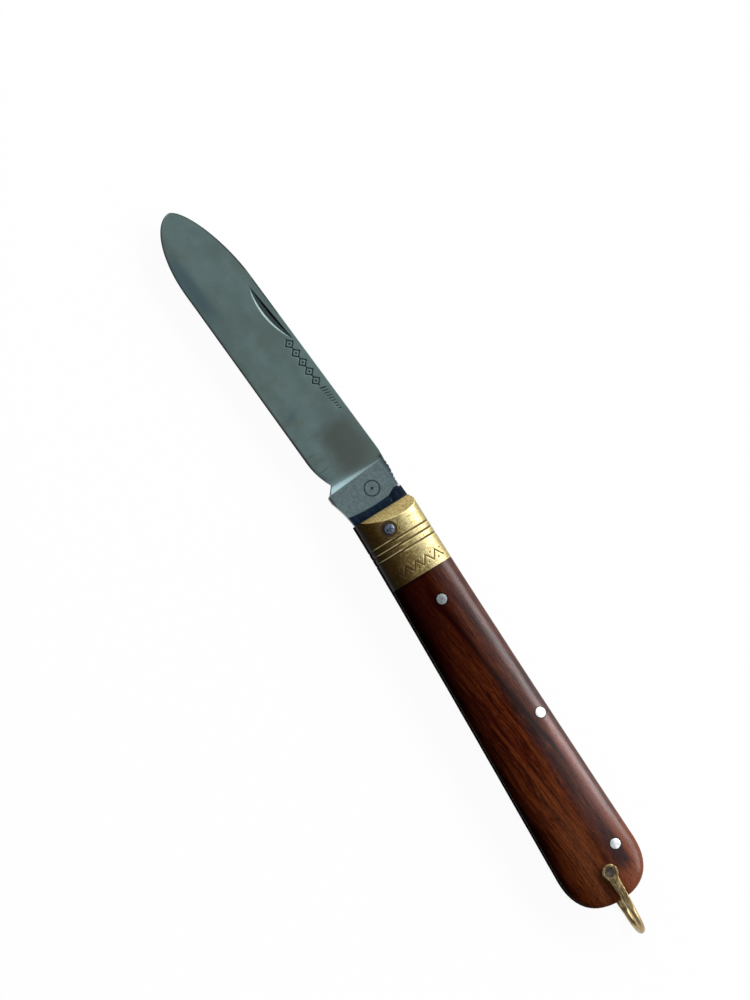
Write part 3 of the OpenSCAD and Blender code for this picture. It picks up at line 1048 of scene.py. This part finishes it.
# %% Bolsters
groove_xs = [2.9, 4.6, 6.3]
groove_half = 0.3
groove_depth = 0.25
seat_r = 2.05
seat_depth = 0.3
facet_len = 2.5
facet_depth = 2.4
facet_bevel = 0.07
facet_tilt = math.radians(7.5)
zigzag_x = 10.9
zigzag_half = 1.3
zigzag_pitch = 2.8
cut_depth = 0.08
end_round = {front_x: 0.1, front_x + 0.05: 0.03, joint_x - 0.05: 0.02, joint_x: 0.08}
print("bolster is", round(joint_x - front_x, 2), "mm long")


# %% Shape of the bolsters
def groove(x):
    """Share of the full depth that a groove has at x."""
    return max(max(0.0, 1 - abs(x - g) / groove_half) for g in groove_xs)


def border_work(x, y):
    """The zigzag and dots behind the grooves, from 0 to 1."""
    if abs(x - zigzag_x) > zigzag_half + 1.2 or not -5.2 < y - axis_y < 6.9:
        return 0.0
    turn = (y / zigzag_pitch) % 1.0
    wave = 4 * abs(turn - 0.5) - 1
    slant = math.hypot(1, 4 * zigzag_half / zigzag_pitch)
    line = (x - zigzag_x - wave * zigzag_half * 0.8) / slant
    mark = line_mark(line, 0.2)
    for offset, side in ((0.0, -1), (0.5, 1)):
        along_y = ((y / zigzag_pitch + offset + 0.5) % 1.0 - 0.5) * zigzag_pitch
        dot = math.hypot(x - zigzag_x - side * zigzag_half * 0.75, along_y)
        mark = max(mark, line_mark(dot, 0.28))
    return mark


def bolster_part(engraved, steps):
    """One bolster, before its ring is cut."""
    def place(x, row):
        kind, value = row
        if kind == "under":
            return under_point(x, value)
        sunk = groove_depth * groove(x) + end_round.get(x, 0.0)
        point = crown_point(x, value, sunk)
        if engraved:
            point = crown_point(x, value, sunk + cut_depth * border_work(point.x, point.y))
        return point

    near_grooves = [
        g + groove_half * share for g in groove_xs for share in (-1.15, -1, -0.5, 0, 0.5, 1, 1.15)
    ]
    fine_step = 0.11 if engraved else 0.5
    xs = in_order(
        list(end_round), spread(front_x + 0.2, 2.4, 0.4), near_grooves,
        spread(6.7, joint_x - 0.2, fine_step),
    )
    bm = skin(xs, crown_rows(steps), place)
    slope = facet_normal()
    corner = Vector((-corner_w, corner_len, 0)).normalized()
    for place_co, normal in (
        (Vector((front_x, axis_y, top_z - facet_depth)), slope),
        (Vector((front_x, nose_top, 0)), corner),
    ):
        geometry = [*bm.verts, *bm.edges, *bm.faces]
        bmesh.ops.bisect_plane(
            bm, geom=geometry, dist=1e-5, plane_co=place_co, plane_no=normal, clear_outer=True
        )
        closed(bm)
    facet = max(bm.faces, key=lambda face: face.normal.dot(slope) * face.calc_area())
    return rounded(bm, list(facet.edges), facet_bevel)


def facet_normal():
    """Direction in which the facet looks: forwards, up and a little towards the spine."""
    fall = math.atan2(facet_depth, facet_len)
    level = math.cos(facet_tilt)
    return Vector((-math.sin(fall) * level, math.sin(facet_tilt), math.cos(fall) * level))


def ring_tool():
    floor_z = top_z - seat_depth
    return lathe([(0, floor_z), (seat_r, floor_z), (seat_r, 9), (0, 9)], (0, 0), steps=72)


def bolster_dirt_and_shade(point):
    """Dirt in the grooves, the border and the ring, with painted shade on the grooves' front walls."""
    mark = max(line_mark(point.x - g + 0.06, 0.28) for g in groove_xs)
    if point.z > 0:
        mark = max(mark, border_work(point.x, point.y))
    ring_share = math.hypot(point.x, point.y) < seat_r + 0.03
    return 1.0 if ring_share and abs(point.z) < top_z - 0.08 else mark


print("dirt in a groove:", round(bolster_dirt_and_shade(Vector((groove_xs[0], 0, 0))), 2))

# %% [markdown]
# Old brass turns brown where hands don't rub it. Its colours are painted with the light as
# well: one ladder of colours climbs from the belly, brown with tarnish and painted shade, to
# the spine, pale with a painted highlight, and noise bends its rungs. Dirt fills the grooves
# and is no metal, so it mirrors nothing, and painted shade darkens their front walls. The
# liners are made of the same brass, painted darker all over as shade between the parts.


# %% Brass
def lip_highlights(brass):
    """Painted highlights along the rims of the grooves: the rear ones towards the spine, the front ones
    below.
    """
    upper = brass.y.ramp(-0.2, 1.4)
    rear = sum(brass.x.band(g + 0.2, g + 0.46, 0.1) for g in groove_xs)
    fore = sum(brass.x.band(g - 0.5, g - 0.24, 0.1) for g in groove_xs)
    over_liner = brass.z.size().ramp(cover_z, cover_z + 0.2)
    return (rear * upper + fore * (1 - upper)) * over_liner


def brass_finish(name, ladder, gloss, overall_shade=0.0):
    """Brass whose colour climbs a ladder of (height, colour) from the belly to the spine: tarnish and
    painted shade below, a painted highlight above.
    """
    brass = Finish(name)
    patches = brass.noise((0.35, 0.5, 0.35), detail=4, roughness=0.6)
    pits = brass.noise((1.9, 1.9, 1.9), detail=4, roughness=0.75, shift=5.0)
    lines = brass.noise((3.2, 0.8, 0.8), detail=5, roughness=0.75, shift=2.0)
    height = brass.y + (patches - 0.5) * 5.0 + (lines - 0.5) * 8.0
    rungs = [((y - axis_y) / 24 + 0.5, colour) for y, colour in ladder]
    brass.colour = brass.colours((height - axis_y) / 24 + 0.5, rungs)
    rough = 1 - brass.y.ramp(0.5, 5.0) * 0.5
    brass.lay((84, 58, 22), pits.ramp(0.48, 0.6) * rough * 0.45)
    brass.lay((96, 70, 28), lines.ramp(0.5, 0.64) * rough * 0.4)
    worn_spots = (1 - pits).ramp(0.5, 0.66) * brass.y.ramp(-4, 3)
    brass.lay((226, 208, 144), worn_spots * 0.45)
    side = brass.z.size() - (top_z - facet_depth) - (brass.x - front_x) * (facet_depth / facet_len)
    lean = facet_normal().y / facet_normal().z
    border = side + (brass.y - axis_y) * lean
    front = 1 - brass.x.ramp(-0.8, -0.5)
    lit = brass.mix((128, 108, 66), (194, 172, 112), brass.y.ramp(-6.0, -1.0))
    lit = brass.mix(lit, (212, 192, 128), lines.ramp(0.4, 0.6) * brass.y.ramp(-4.0, 1.0))
    lit = brass.mix(lit, (134, 96, 62), pits.ramp(0.44, 0.6) * 0.5)
    brass.lay(lit, border.ramp(-0.12, -0.03) * front)
    glint = (border.band(-0.34, -0.1, 0.1) * front * brass.y.ramp(-3, 1)).most(lip_highlights(brass) * 0.8)
    brass.lay((240, 226, 166), glint * (0.5 + patches * 0.8))
    ring = brass.near(0, 0)
    stain = ring.band(2.3, 2.75, 0.15) * brass.x.ramp(-0.4, 1.2) * pits.ramp(0.35, 0.6)
    brass.lay((70, 42, 26), stain * 0.8)
    spots = pits.ramp(0.6, 0.7)
    brass.lay((60, 40, 18), spots * 0.7)
    # Soiled hollows and painted shade: dark grooves, border and ring, with painted shade on the
    # grooves' front walls; the soil is painted lighter towards the spine, where the light falls.
    dirt = brass.attribute("dirt").ramp(0.05, 0.8)
    grime_and_shade = brass.mix((42, 28, 15), (96, 74, 38), brass.y.ramp(-1.0, 4.0))
    brass.lay(grime_and_shade, dirt * 0.9)
    # Painted shade: the belly side is darkened nearly black, and on the liners the whole surface is
    # darkened too.
    belly = (1 - brass.y.ramp(-6.2, -4.6)).most(overall_shade)
    brass.lay((14, 9, 5), belly * 0.9)
    relief = lines * 0.4 + patches * 0.8 - spots
    return brass.done(
        Metallic=1 - dirt.most(belly),
        Roughness=gloss + patches * 0.14 + dirt.most(belly) * 0.25,
        Specular_IOR_Level=0.1 * (1 - overall_shade),
        Normal=brass.relief(relief, 0.03),
    )


# Painted light on the bolsters: brown with tarnish and painted shade at the belly, pale yellow for the
# painted highlight at the spine.
bolster_light_ladder = [
    (-6.5, (54, 38, 18)), (-3.5, (72, 54, 26)), (-0.5, (106, 88, 52)), (2.0, (140, 122, 78)),
    (3.6, (182, 167, 116)), (5.0, (214, 201, 150)), (6.0, (212, 199, 148)), (7.2, (184, 170, 120)),
]
bolster_material = brass_finish("bolster_brass", bolster_light_ladder, 0.32)

# %% Both bolsters
front_bolster = cut(bolster_part(True, 200), ring_tool())
front_bolster = with_marks(front_bolster, bolster_dirt_and_shade)
settle("bolster_front", front_bolster, "front_bolster", bolster_material)
back_bolster = mirrored(cut(bolster_part(False, 96), ring_tool()))
back_bolster = with_marks(back_bolster, bolster_dirt_and_shade)
settle("bolster_back", back_bolster, "back_bolster", bolster_material)

# %% [markdown]
# ## Scales
# The wooden scales carry the crown on to the butt, a little lower all the way, and round
# off there. Hand filing leaves slow waves of a few hundredths of a millimetre, which give
# the glossy band its uneven borders. The pins' holes are cut a trace too wide, so a thin
# dark gap shows round each head.

# %% Scales
pin_r = 1.35
pin_gap = 0.04
bail_pin_r = 1.0
file_wave = 0.035
wood_turn = math.radians(6)
middle_pin = centre_mm("spring_pin")
end_pin = centre_mm("end_pin")
cover_pin = centre_mm("front_cover_pin")
bail_pin = centre_mm("bail_pin")
pin_holes = [(cover_pin, pin_r), (middle_pin, pin_r), (end_pin, pin_r), (bail_pin, bail_pin_r)]
drill_top = 9


def scale_point(x, row):
    kind, value = row
    if kind == "under":
        return under_point(x, value)
    point = crown_point(x, value)
    wave = 0.5 + 0.5 * noise.noise(Vector((point.x * 0.16, point.y * 0.45, point.z * 0.4)))
    edge = 0.05 if x == joint_x else 0.0
    return crown_point(x, value, edge + file_wave * wave * min(1.0, half_width(x) / 4))


def butt_columns(count):
    """Places along the butt, closer together where its outline turns."""
    turns = [math.sin(math.radians(90 * i / count)) for i in range(count + 1)]
    return [butt_x + butt_len * turn ** (2 / butt_power) for turn in turns]


def drilled(bm, holes, gap=0.0):
    """Cuts an upright hole for each (centre, radius), wider by a gap, from the middle up."""
    for centre, radius in holes:
        r = radius + gap
        bm = cut(bm, lathe([(0, 0), (r, 0), (r, drill_top), (0, drill_top)], centre))
    return bm


def scale_part():
    xs = in_order([joint_x], spread(joint_x + 0.1, butt_x, 0.6), butt_columns(44))
    return drilled(skin(xs, crown_rows(110), scale_point), pin_holes, pin_gap)


print("scales have", len(pin_holes), "holes each")

# %% [markdown]
# The grain of the rosewood runs a few degrees off the handle. A picture of wood would
# smear over the crown, so noise that is stretched along the grain gives the layers, fibres
# and pores at their real size all over. The wood is darker towards the belly, and painted
# shade darkens it further there; towards the spine it is painted lighter, with a painted
# highlight along the shoulder. A thin coat of oil, stronger towards the spine, carries the
# long reflection of the window.


# %% Wood
def wood_finish():
    """Rosewood: dark red and brown layers, black streaks, fibres and pores."""
    wood = Finish("rosewood", turn=wood_turn)
    drift = wood.noise((0.03, 0.12, 0.12), detail=2, shift=4.0)
    layer = wood.y + (drift - 0.5) * 4.0
    grain = wood.node("CombineXYZ", {}, [wood.x, layer, wood.z])
    bands = wood.noise((0.02, 0.34, 0.2), detail=3, roughness=0.6, shift=9.3, place=grain)
    streaks = wood.noise((0.035, 1.2, 0.7), detail=5, roughness=0.65, shift=2.2, place=grain)
    fibres = wood.noise((0.24, 2.8, 2.0), detail=6, roughness=0.78, place=grain)
    pores = wood.noise((0.9, 5.0, 4.0), detail=3, roughness=0.6, shift=6.4, place=grain)
    level = wood.x * math.sin(wood_turn) + wood.y * math.cos(wood_turn)

    wood.colour = wood.colours(
        bands * 0.55 + streaks * 0.45,
        [
            (0.3, (24, 5, 4)), (0.4, (54, 16, 8)), (0.48, (88, 40, 15)),
            (0.54, (66, 23, 10)), (0.62, (36, 8, 6)), (0.74, (66, 22, 14)),
        ],
    )
    wood.lay((20, 6, 4), streaks.ramp(0.55, 0.68) * 0.85)
    # Painted light: the wood is lighter and greyer towards the spine, which faces the window.
    upper = level.ramp(1.5, 4.5)
    wood.lay((52, 24, 18), upper * 0.45)
    pale = wood.x.ramp(62, 92) * (1 - level.ramp(0.5, 4.0)) * level.ramp(-6.5, -1.0)
    wood.lay((124, 76, 48), pale * 0.3)
    wood.lay((124, 68, 32), fibres.ramp(0.52, 0.68) * 0.5)
    wood.lay((16, 4, 3), (1 - fibres).ramp(0.5, 0.66) * 0.8)
    streak = (layer - wood.x * 0.03).band(-3.2, -1.9, 0.6) * wood.x.band(20, 96, 6)
    wood.lay((14, 6, 5), streak * fibres.ramp(0.36, 0.52) * 0.95)
    # Painted highlight: a lighter band along the shoulder, under the window's glossy band.
    shoulder = level.band(7.7, 10.0, 0.9) * wood.x.band(58, 94, 8)
    wood.lay((138, 86, 74), shoulder * (0.2 + fibres * 0.6))
    butt = wood.x.ramp(80, 98)
    butt_tip = wood.x.ramp(98, 102)
    orange = (butt * level.ramp(7.8, 9.4)).most(butt_tip * level.ramp(2.5, 5.0))
    wood.lay((136, 74, 42), orange * (0.1 + fibres * 0.8))
    dark_layer = level.band(5.0, 8.2, 0.9) * butt * (1 - butt_tip)
    wood.lay((38, 22, 24), dark_layer * (1.2 - fibres))
    # Painted shade over darker wood: the lower part near the bolster is darkened.
    front = (1 - wood.x.ramp(18, 62)) * (1 - level.ramp(1.0, 5.0))
    wood.lay((26, 2, 3), front * (1.0 - bands * 0.3))
    # Painted shade over darker wood: the belly is darkened nearly black, less so towards the butt.
    low = level + drift * 4.0 + wood.x * 0.035
    belly = 1 - low.ramp(-4.5, 2.6)
    wood.lay((20, 2, 2), belly * 0.85)
    wood.lay((5, 1, 1), (1 - low.ramp(-4.5, -1.5)) * 0.9)
    wood.lay((10, 4, 3), pores.ramp(0.58, 0.7) * 0.7)
    for centre in (cover_pin, middle_pin, end_pin):
        gap = wood.near(*upright(centre, wood_turn))
        wood.lay((8, 3, 3), (1 - gap.ramp(pin_r + 0.05, pin_r + 0.45)) * 0.9)
    joint_line = 1 - wood.x.ramp(joint_x, joint_x + 1.0)
    wood.lay((12, 5, 5), joint_line * 0.7)

    polish = level.ramp(1.5, 7.0)
    relief = fibres * 0.7 - pores.ramp(0.6, 0.74)
    return wood.done(
        Roughness=0.5,
        Specular_IOR_Level=0.0,
        Coat_Weight=polish * (0.45 + fibres * 0.7) * (0.7 + wood.x * 0.008) * (1 - butt * 0.55),
        Coat_Roughness=0.26,
        Coat_Tint=(1.0, 0.86, 0.84, 1),
        Normal=wood.relief(relief, 0.06),
    )


wood_material = wood_finish()

# %% Both scales
settle("scale_front", scale_part(), "front_scale", wood_material)
settle("scale_back", mirrored(scale_part()), "back_scale", wood_material)

# %% [markdown]
# ## Liners and spring
# Two brass sheets and the spring between them have the handle's outline. Their rims show
# along the back, the belly and the butt as thin lines of metal. Each is a plate.

# %% Liners and backspring
# Painted light on the liners: nearly black with painted shade at the belly, lighter towards the spine.
liner_light_ladder = [(-8.5, (14, 9, 5)), (-1.0, (44, 32, 16)), (6.0, (104, 88, 50)), (9.5, (130, 114, 68))]
liner_brass = brass_finish("liner_brass", liner_light_ladder, 0.45, overall_shade=0.5)
rim_xs = in_order([front_x], spread(0, butt_x, 2.0), butt_columns(40))
corner = [(front_x + corner_len, axis_y + front_w / 2), (front_x, nose_top)]
nose_r = 0.7
tail_wall = 1.2
belly_wall = 2.0
closed_turn = math.radians(173)


def handle_outline():
    low = [(x, axis_y - half_width(x)) for x in rim_xs]
    high = [(x, axis_y + half_width(x)) for x in reversed(rim_xs[1:-1])]
    return low + high + corner


def liner_part():
    sheet = plate(handle_outline(), liner_z, cover_z, width=0.05)
    return drilled(sheet, [*pin_holes, ((0, 0), pivot_r)])


def spring_outline():
    """The spring from its nose along the back to its tail, and back under its pins."""
    tail_y = end_pin.y - pin_r - tail_wall
    tail_share = (tail_y - axis_y) / half_width(butt_x)
    tail_x = butt_x + butt_len * round_off(tail_share, butt_power)
    nose = arc((spring_nose_x + nose_r, nose_top - nose_fall - nose_r), nose_r, 180, 90, 8)
    back = [(x, axis_y + half_width(x)) for x in rim_xs if x >= 0 and half_width(x) > tail_y - axis_y]
    stop = [(grind_x, kick[1] - kick_r), *(heel_point(1 - i / 6) for i in range(7))]
    turn = Matrix.Rotation(closed_turn + blade_lean, 2)
    face = [turn @ Vector((x, y - fit)) for x, y in stop]
    return [
        (spring_nose_x + toe_back, cam_h), (spring_nose_x, cam_h + toe_h), *nose, *reversed(corner),
        *back, (tail_x, tail_y), (end_pin.x, tail_y), (middle_pin.x, middle_pin.y - pin_r - belly_wall),
        *(tuple(point) for point in face), (3.0, cam_h),
    ]


print("outline of the spring has", len(spring_outline()), "points")


# %% Finish of the spring
def spring_finish():
    """Dark spring steel, blackened at the nose with painted shade over it, rubbed bright along the
    back, and painted shade towards the belly, inside the blade's slot.
    """
    steel = Finish("spring_steel")
    cloud = steel.noise((0.3, 0.3, 0.3), detail=4)
    rub = steel.noise((0.4, 5.0, 5.0), detail=3, shift=2.0)
    steel.colour = steel.mix((92, 98, 102), (126, 132, 134), rub.ramp(0.35, 0.65))
    # The nose is blackened steel, with painted shade over it where it stands out over the tang.
    nose = 1 - (steel.x + cloud).ramp(-4.8, -3.2)
    near_black = steel.mix((20, 30, 42), (40, 52, 66), rub.ramp(0.4, 0.7))
    steel.lay(near_black, nose)
    chip = steel.near(-8.0, nose_top - 0.6)
    steel.lay((190, 200, 204), (1 - chip.ramp(0.25, 0.5)) * 0.85)
    # Painted shade: the spring is darkened towards the belly, inside the blade's slot.
    belly = 1 - steel.y.ramp(-1, 3)
    steel.lay((24, 22, 22), belly * 0.8)
    return steel.done(
        Metallic=1.0, Roughness=0.34 + cloud * 0.15 + nose * 0.1,
        Normal=steel.relief(rub, 0.006),
    )


settle("liner_front", liner_part(), "front_liner", liner_brass)
settle("liner_back", mirrored(liner_part()), "back_liner", liner_brass)
spring = plate(spring_outline(), -liner_z, liner_z, width=0.08)
settle("spring_back", spring, "backspring", spring_finish())

# %% [markdown]
# ## Pins
# The pins are riveted and then filed with the wood, so their heads follow the crown and
# stand a trace proud. Each is turned on the lathe with flat ends, and then the points of
# its heads are lifted to the surface over them.

# %% Pins
head_z = 5
head_offsets = [(0.0, 0.09), (0.4, 0.08), (0.75, 0.05), (0.94, 0.02), (1.0, -0.06)]


def both_ends(upper):
    """A pin's profile: its upper end, and the same end below."""
    return [*upper, *((radius, -height) for radius, height in reversed(upper))]


def riveted(centre, foot=None):
    """A pin whose heads follow the crown, with a flat end instead of the lower head at foot."""
    head = [(pin_r * share, head_z + offset) for share, offset in head_offsets]
    profile = both_ends(head) if foot is None else [*head, (pin_r, foot), (0, foot)]
    bm = lathe(profile, centre, steps=48)
    for vert in bm.verts:
        x, y, z = vert.co
        if abs(z) > head_z - 1:
            dent = noise.noise(Vector((x * 0.9, y * 0.9, 3.0))) * 0.05
            vert.co.z += (surface_z(x, y) - head_z + dent) * (1 if z > 0 else -1)
    return bm


print("pins have a radius of", pin_r, "mm")


# %% Finish of the pins
def pin_finish(name, base, dull, mottle, roughness):
    """Steel pin heads with dull patches and small dents."""
    steel = Finish(name)
    patches = steel.noise((1.3, 1.3, 1.3), detail=4, roughness=0.6)
    steel.colour = steel.mix(base, dull, patches.ramp(0.42, 0.66) * mottle)
    return steel.done(
        Metallic=0.9, Roughness=roughness + patches * 0.12,
        Normal=steel.relief(patches, 0.02),
    )


# Painted light: one pin steel is laid twice, lighter for the middle and end pins, which catch the
# window, and darker for the cover pins, which face a dimmer sky.
lit_pin_steel = pin_finish("pin_steel", (222, 226, 228), (176, 184, 188), 0.7, 0.34)
shaded_pin_steel = pin_finish("cover_pin_steel", (150, 156, 156), (122, 128, 128), 0.9, 0.34)
settle("pin_middle", riveted(middle_pin), "spring_pin", lit_pin_steel)
settle("pin_end", riveted(end_pin), "end_pin", lit_pin_steel)
settle("pin_cover_front", riveted(cover_pin, liner_z), "front_cover_pin", shaded_pin_steel)
settle("pin_cover_back", mirrored(riveted(cover_pin, liner_z)), "back_cover_pin", shaded_pin_steel)

# %% Pivot pin
pivot_head = top_z - 0.06


def pivot_part():
    dome = [(0, 0.0), (0.6, 0.02), (1.1, 0.06), (1.35, 0.12), (pivot_r, 0.26)]
    return lathe(both_ends([(radius, pivot_head - drop) for radius, drop in dome]), (0, 0))


def pivot_finish():
    """Blued steel, rubbed to a mottled grey, with painted shade round the rim of its head."""
    steel = Finish("pivot_steel")
    patches = steel.noise((1.4, 1.4, 1.4), detail=4, roughness=0.65, shift=3.0)
    steel.colour = steel.mix((108, 120, 134), (62, 70, 84), patches.ramp(0.4, 0.6))
    # Painted shade round the rim of the head.
    head_rim_shade = steel.near(0.15, 0.15)
    steel.lay((46, 32, 30), head_rim_shade.ramp(1.1, 1.45) * 0.9)
    dent = 1 - steel.near(0.1, -0.5).ramp(0.15, 0.45)
    steel.lay((44, 46, 58), dent * 0.8)
    return steel.done(
        Metallic=1.0, Roughness=0.3 + patches * 0.2,
        Normal=steel.relief(patches, 0.02),
    )


settle("pin_pivot", pivot_part(), "pivot_pin", pivot_finish())

# %% [markdown]
# ## Bail
# The bail is one brass wire. Its ends are hammered flat into ears, drilled for the pin, and
# between them it bows round the butt. A skin does all of it: the ring of points starts
# nearly square at the ear, narrows along the shank and grows round where the wire starts.
# The ear's drilled rim is a small ring, and the pin's flared end fills it.

# %% Bail
ear_r = 2.0
ear_half = 0.55
wire_r = 0.8
shank_half = 1.35
wire_start = 9.0
bow_start = 11.0
bow_r = top_z - wire_r
bail_lean = math.radians(0.4)
flare_r = 1.3
rim_r = 1.62
rim_bead = 0.19
bail_pin_gap = 0.05
ear_span = (4.5, 7)


def leg_shape(s):
    """Half width, half thickness and squareness of the leg at s from the pin."""
    disc = math.sqrt(max(0.0, ear_r**2 - s**2)) if s < ear_r else 0.0
    share = clamp(s / bow_start)
    shank = shank_half + (wire_r - shank_half) * share**0.9 if s > -0.4 else 0.0
    width = (disc**5 + shank**5) ** 0.2
    late = clamp((s - wire_start) / (bow_start - wire_start))
    soft = late * late * (3 - 2 * late)
    return width, ear_half + (wire_r - ear_half) * soft, 7 - 5 * soft


def bail_point(station, angle):
    """A point of the bail: both legs lie along X, and the bow turns from one to the other."""
    part, s = station
    width, thick, power = leg_shape(bow_start if part == "bow" else s)
    c, d = math.cos(angle), math.sin(angle)
    side = width * math.copysign(abs(c) ** (2 / power), c)
    rise = thick * math.copysign(abs(d) ** (2 / power), d)
    if part == "bow":
        reach = bow_r + rise
        return Vector((bow_start + reach * math.sin(s), side, reach * math.cos(s)))
    height = top_z - thick + rise
    return Vector((s, side, height if part == "near" else -height))


print("the bow leaves", round(2 * (bow_r - wire_r), 2), "mm inside")


# %% The whole bail
def ear_tool():
    """The drill for the near ear's hole, which widens outwards."""
    hole = bail_pin_r + bail_pin_gap
    flared = flare_r + bail_pin_gap
    inner, outer = ear_span
    return lathe(
        [(0, inner), (hole, inner), (hole, top_z - 0.5), (flared, top_z), (1.45, outer), (0, outer)],
        (0, 0),
    )


def bail_part():
    ear_ss = [-ear_r * math.cos(math.radians(a)) for a in range(0, 91, 6)]
    leg_ss = in_order(ear_ss, spread(0, bow_start, 0.4))
    angles = [2 * math.pi * i / 40 for i in range(41)]
    bow = [("bow", math.pi * i / 48) for i in range(1, 48)]
    stations = [("near", s) for s in leg_ss] + bow + [("far", s) for s in reversed(leg_ss)]
    wire = cut(skin(stations, angles, bail_point), ear_tool())
    wire = cut(wire, mirrored(ear_tool()))
    beads = [
        lathe(arc((rim_r, side * (top_z - rim_bead)), rim_bead, 0, 360, 12), (0, 0), steps=48)
        for side in (1, -1)
    ]
    return moved(joined(wire, *beads), -bail_lean, shift=(bail_pin.x, bail_pin.y, 0))


def bail_finish():
    """Dull hammered brass with file marks across it."""
    turn = math.radians(-6)
    brass = Finish("bail_brass", turn=turn)
    hammer = brass.noise((0.5, 1.0, 0.8), detail=3)
    files = brass.noise((0.45, 4.2, 2.5), detail=4, roughness=0.65, shift=4.0)
    filed = 1 - brass.near(*upright(bail_pin, turn)).ramp(6.0, 11.0) * 0.7
    brass.colour = brass.mix((186, 164, 120), (118, 98, 66), hammer.ramp(0.38, 0.62) * filed)
    brass.lay((46, 34, 20), files.ramp(0.48, 0.62) * filed * 0.85)
    return brass.done(
        Metallic=1.0, Roughness=0.28 + hammer * 0.16,
        Normal=brass.relief((hammer * 0.4 + files * 0.6) * filed, 0.02),
    )


settle("bail_wire", bail_part(), "bail", bail_finish())

# %% Bail pin
def bail_pin_part():
    flared = [(0, 0.12), (0.7, 0.1), (1.05, 0.02), (flare_r, 0.06), (bail_pin_r, 0.5)]
    return lathe(both_ends([(radius, top_z - 0.08 - drop) for radius, drop in flared]), bail_pin)


dark_steel = pin_finish("bail_pin_steel", (92, 84, 74), (48, 42, 38), 0.9, 0.36)
settle("pin_bail", bail_pin_part(), "bail_pin", dark_steel)
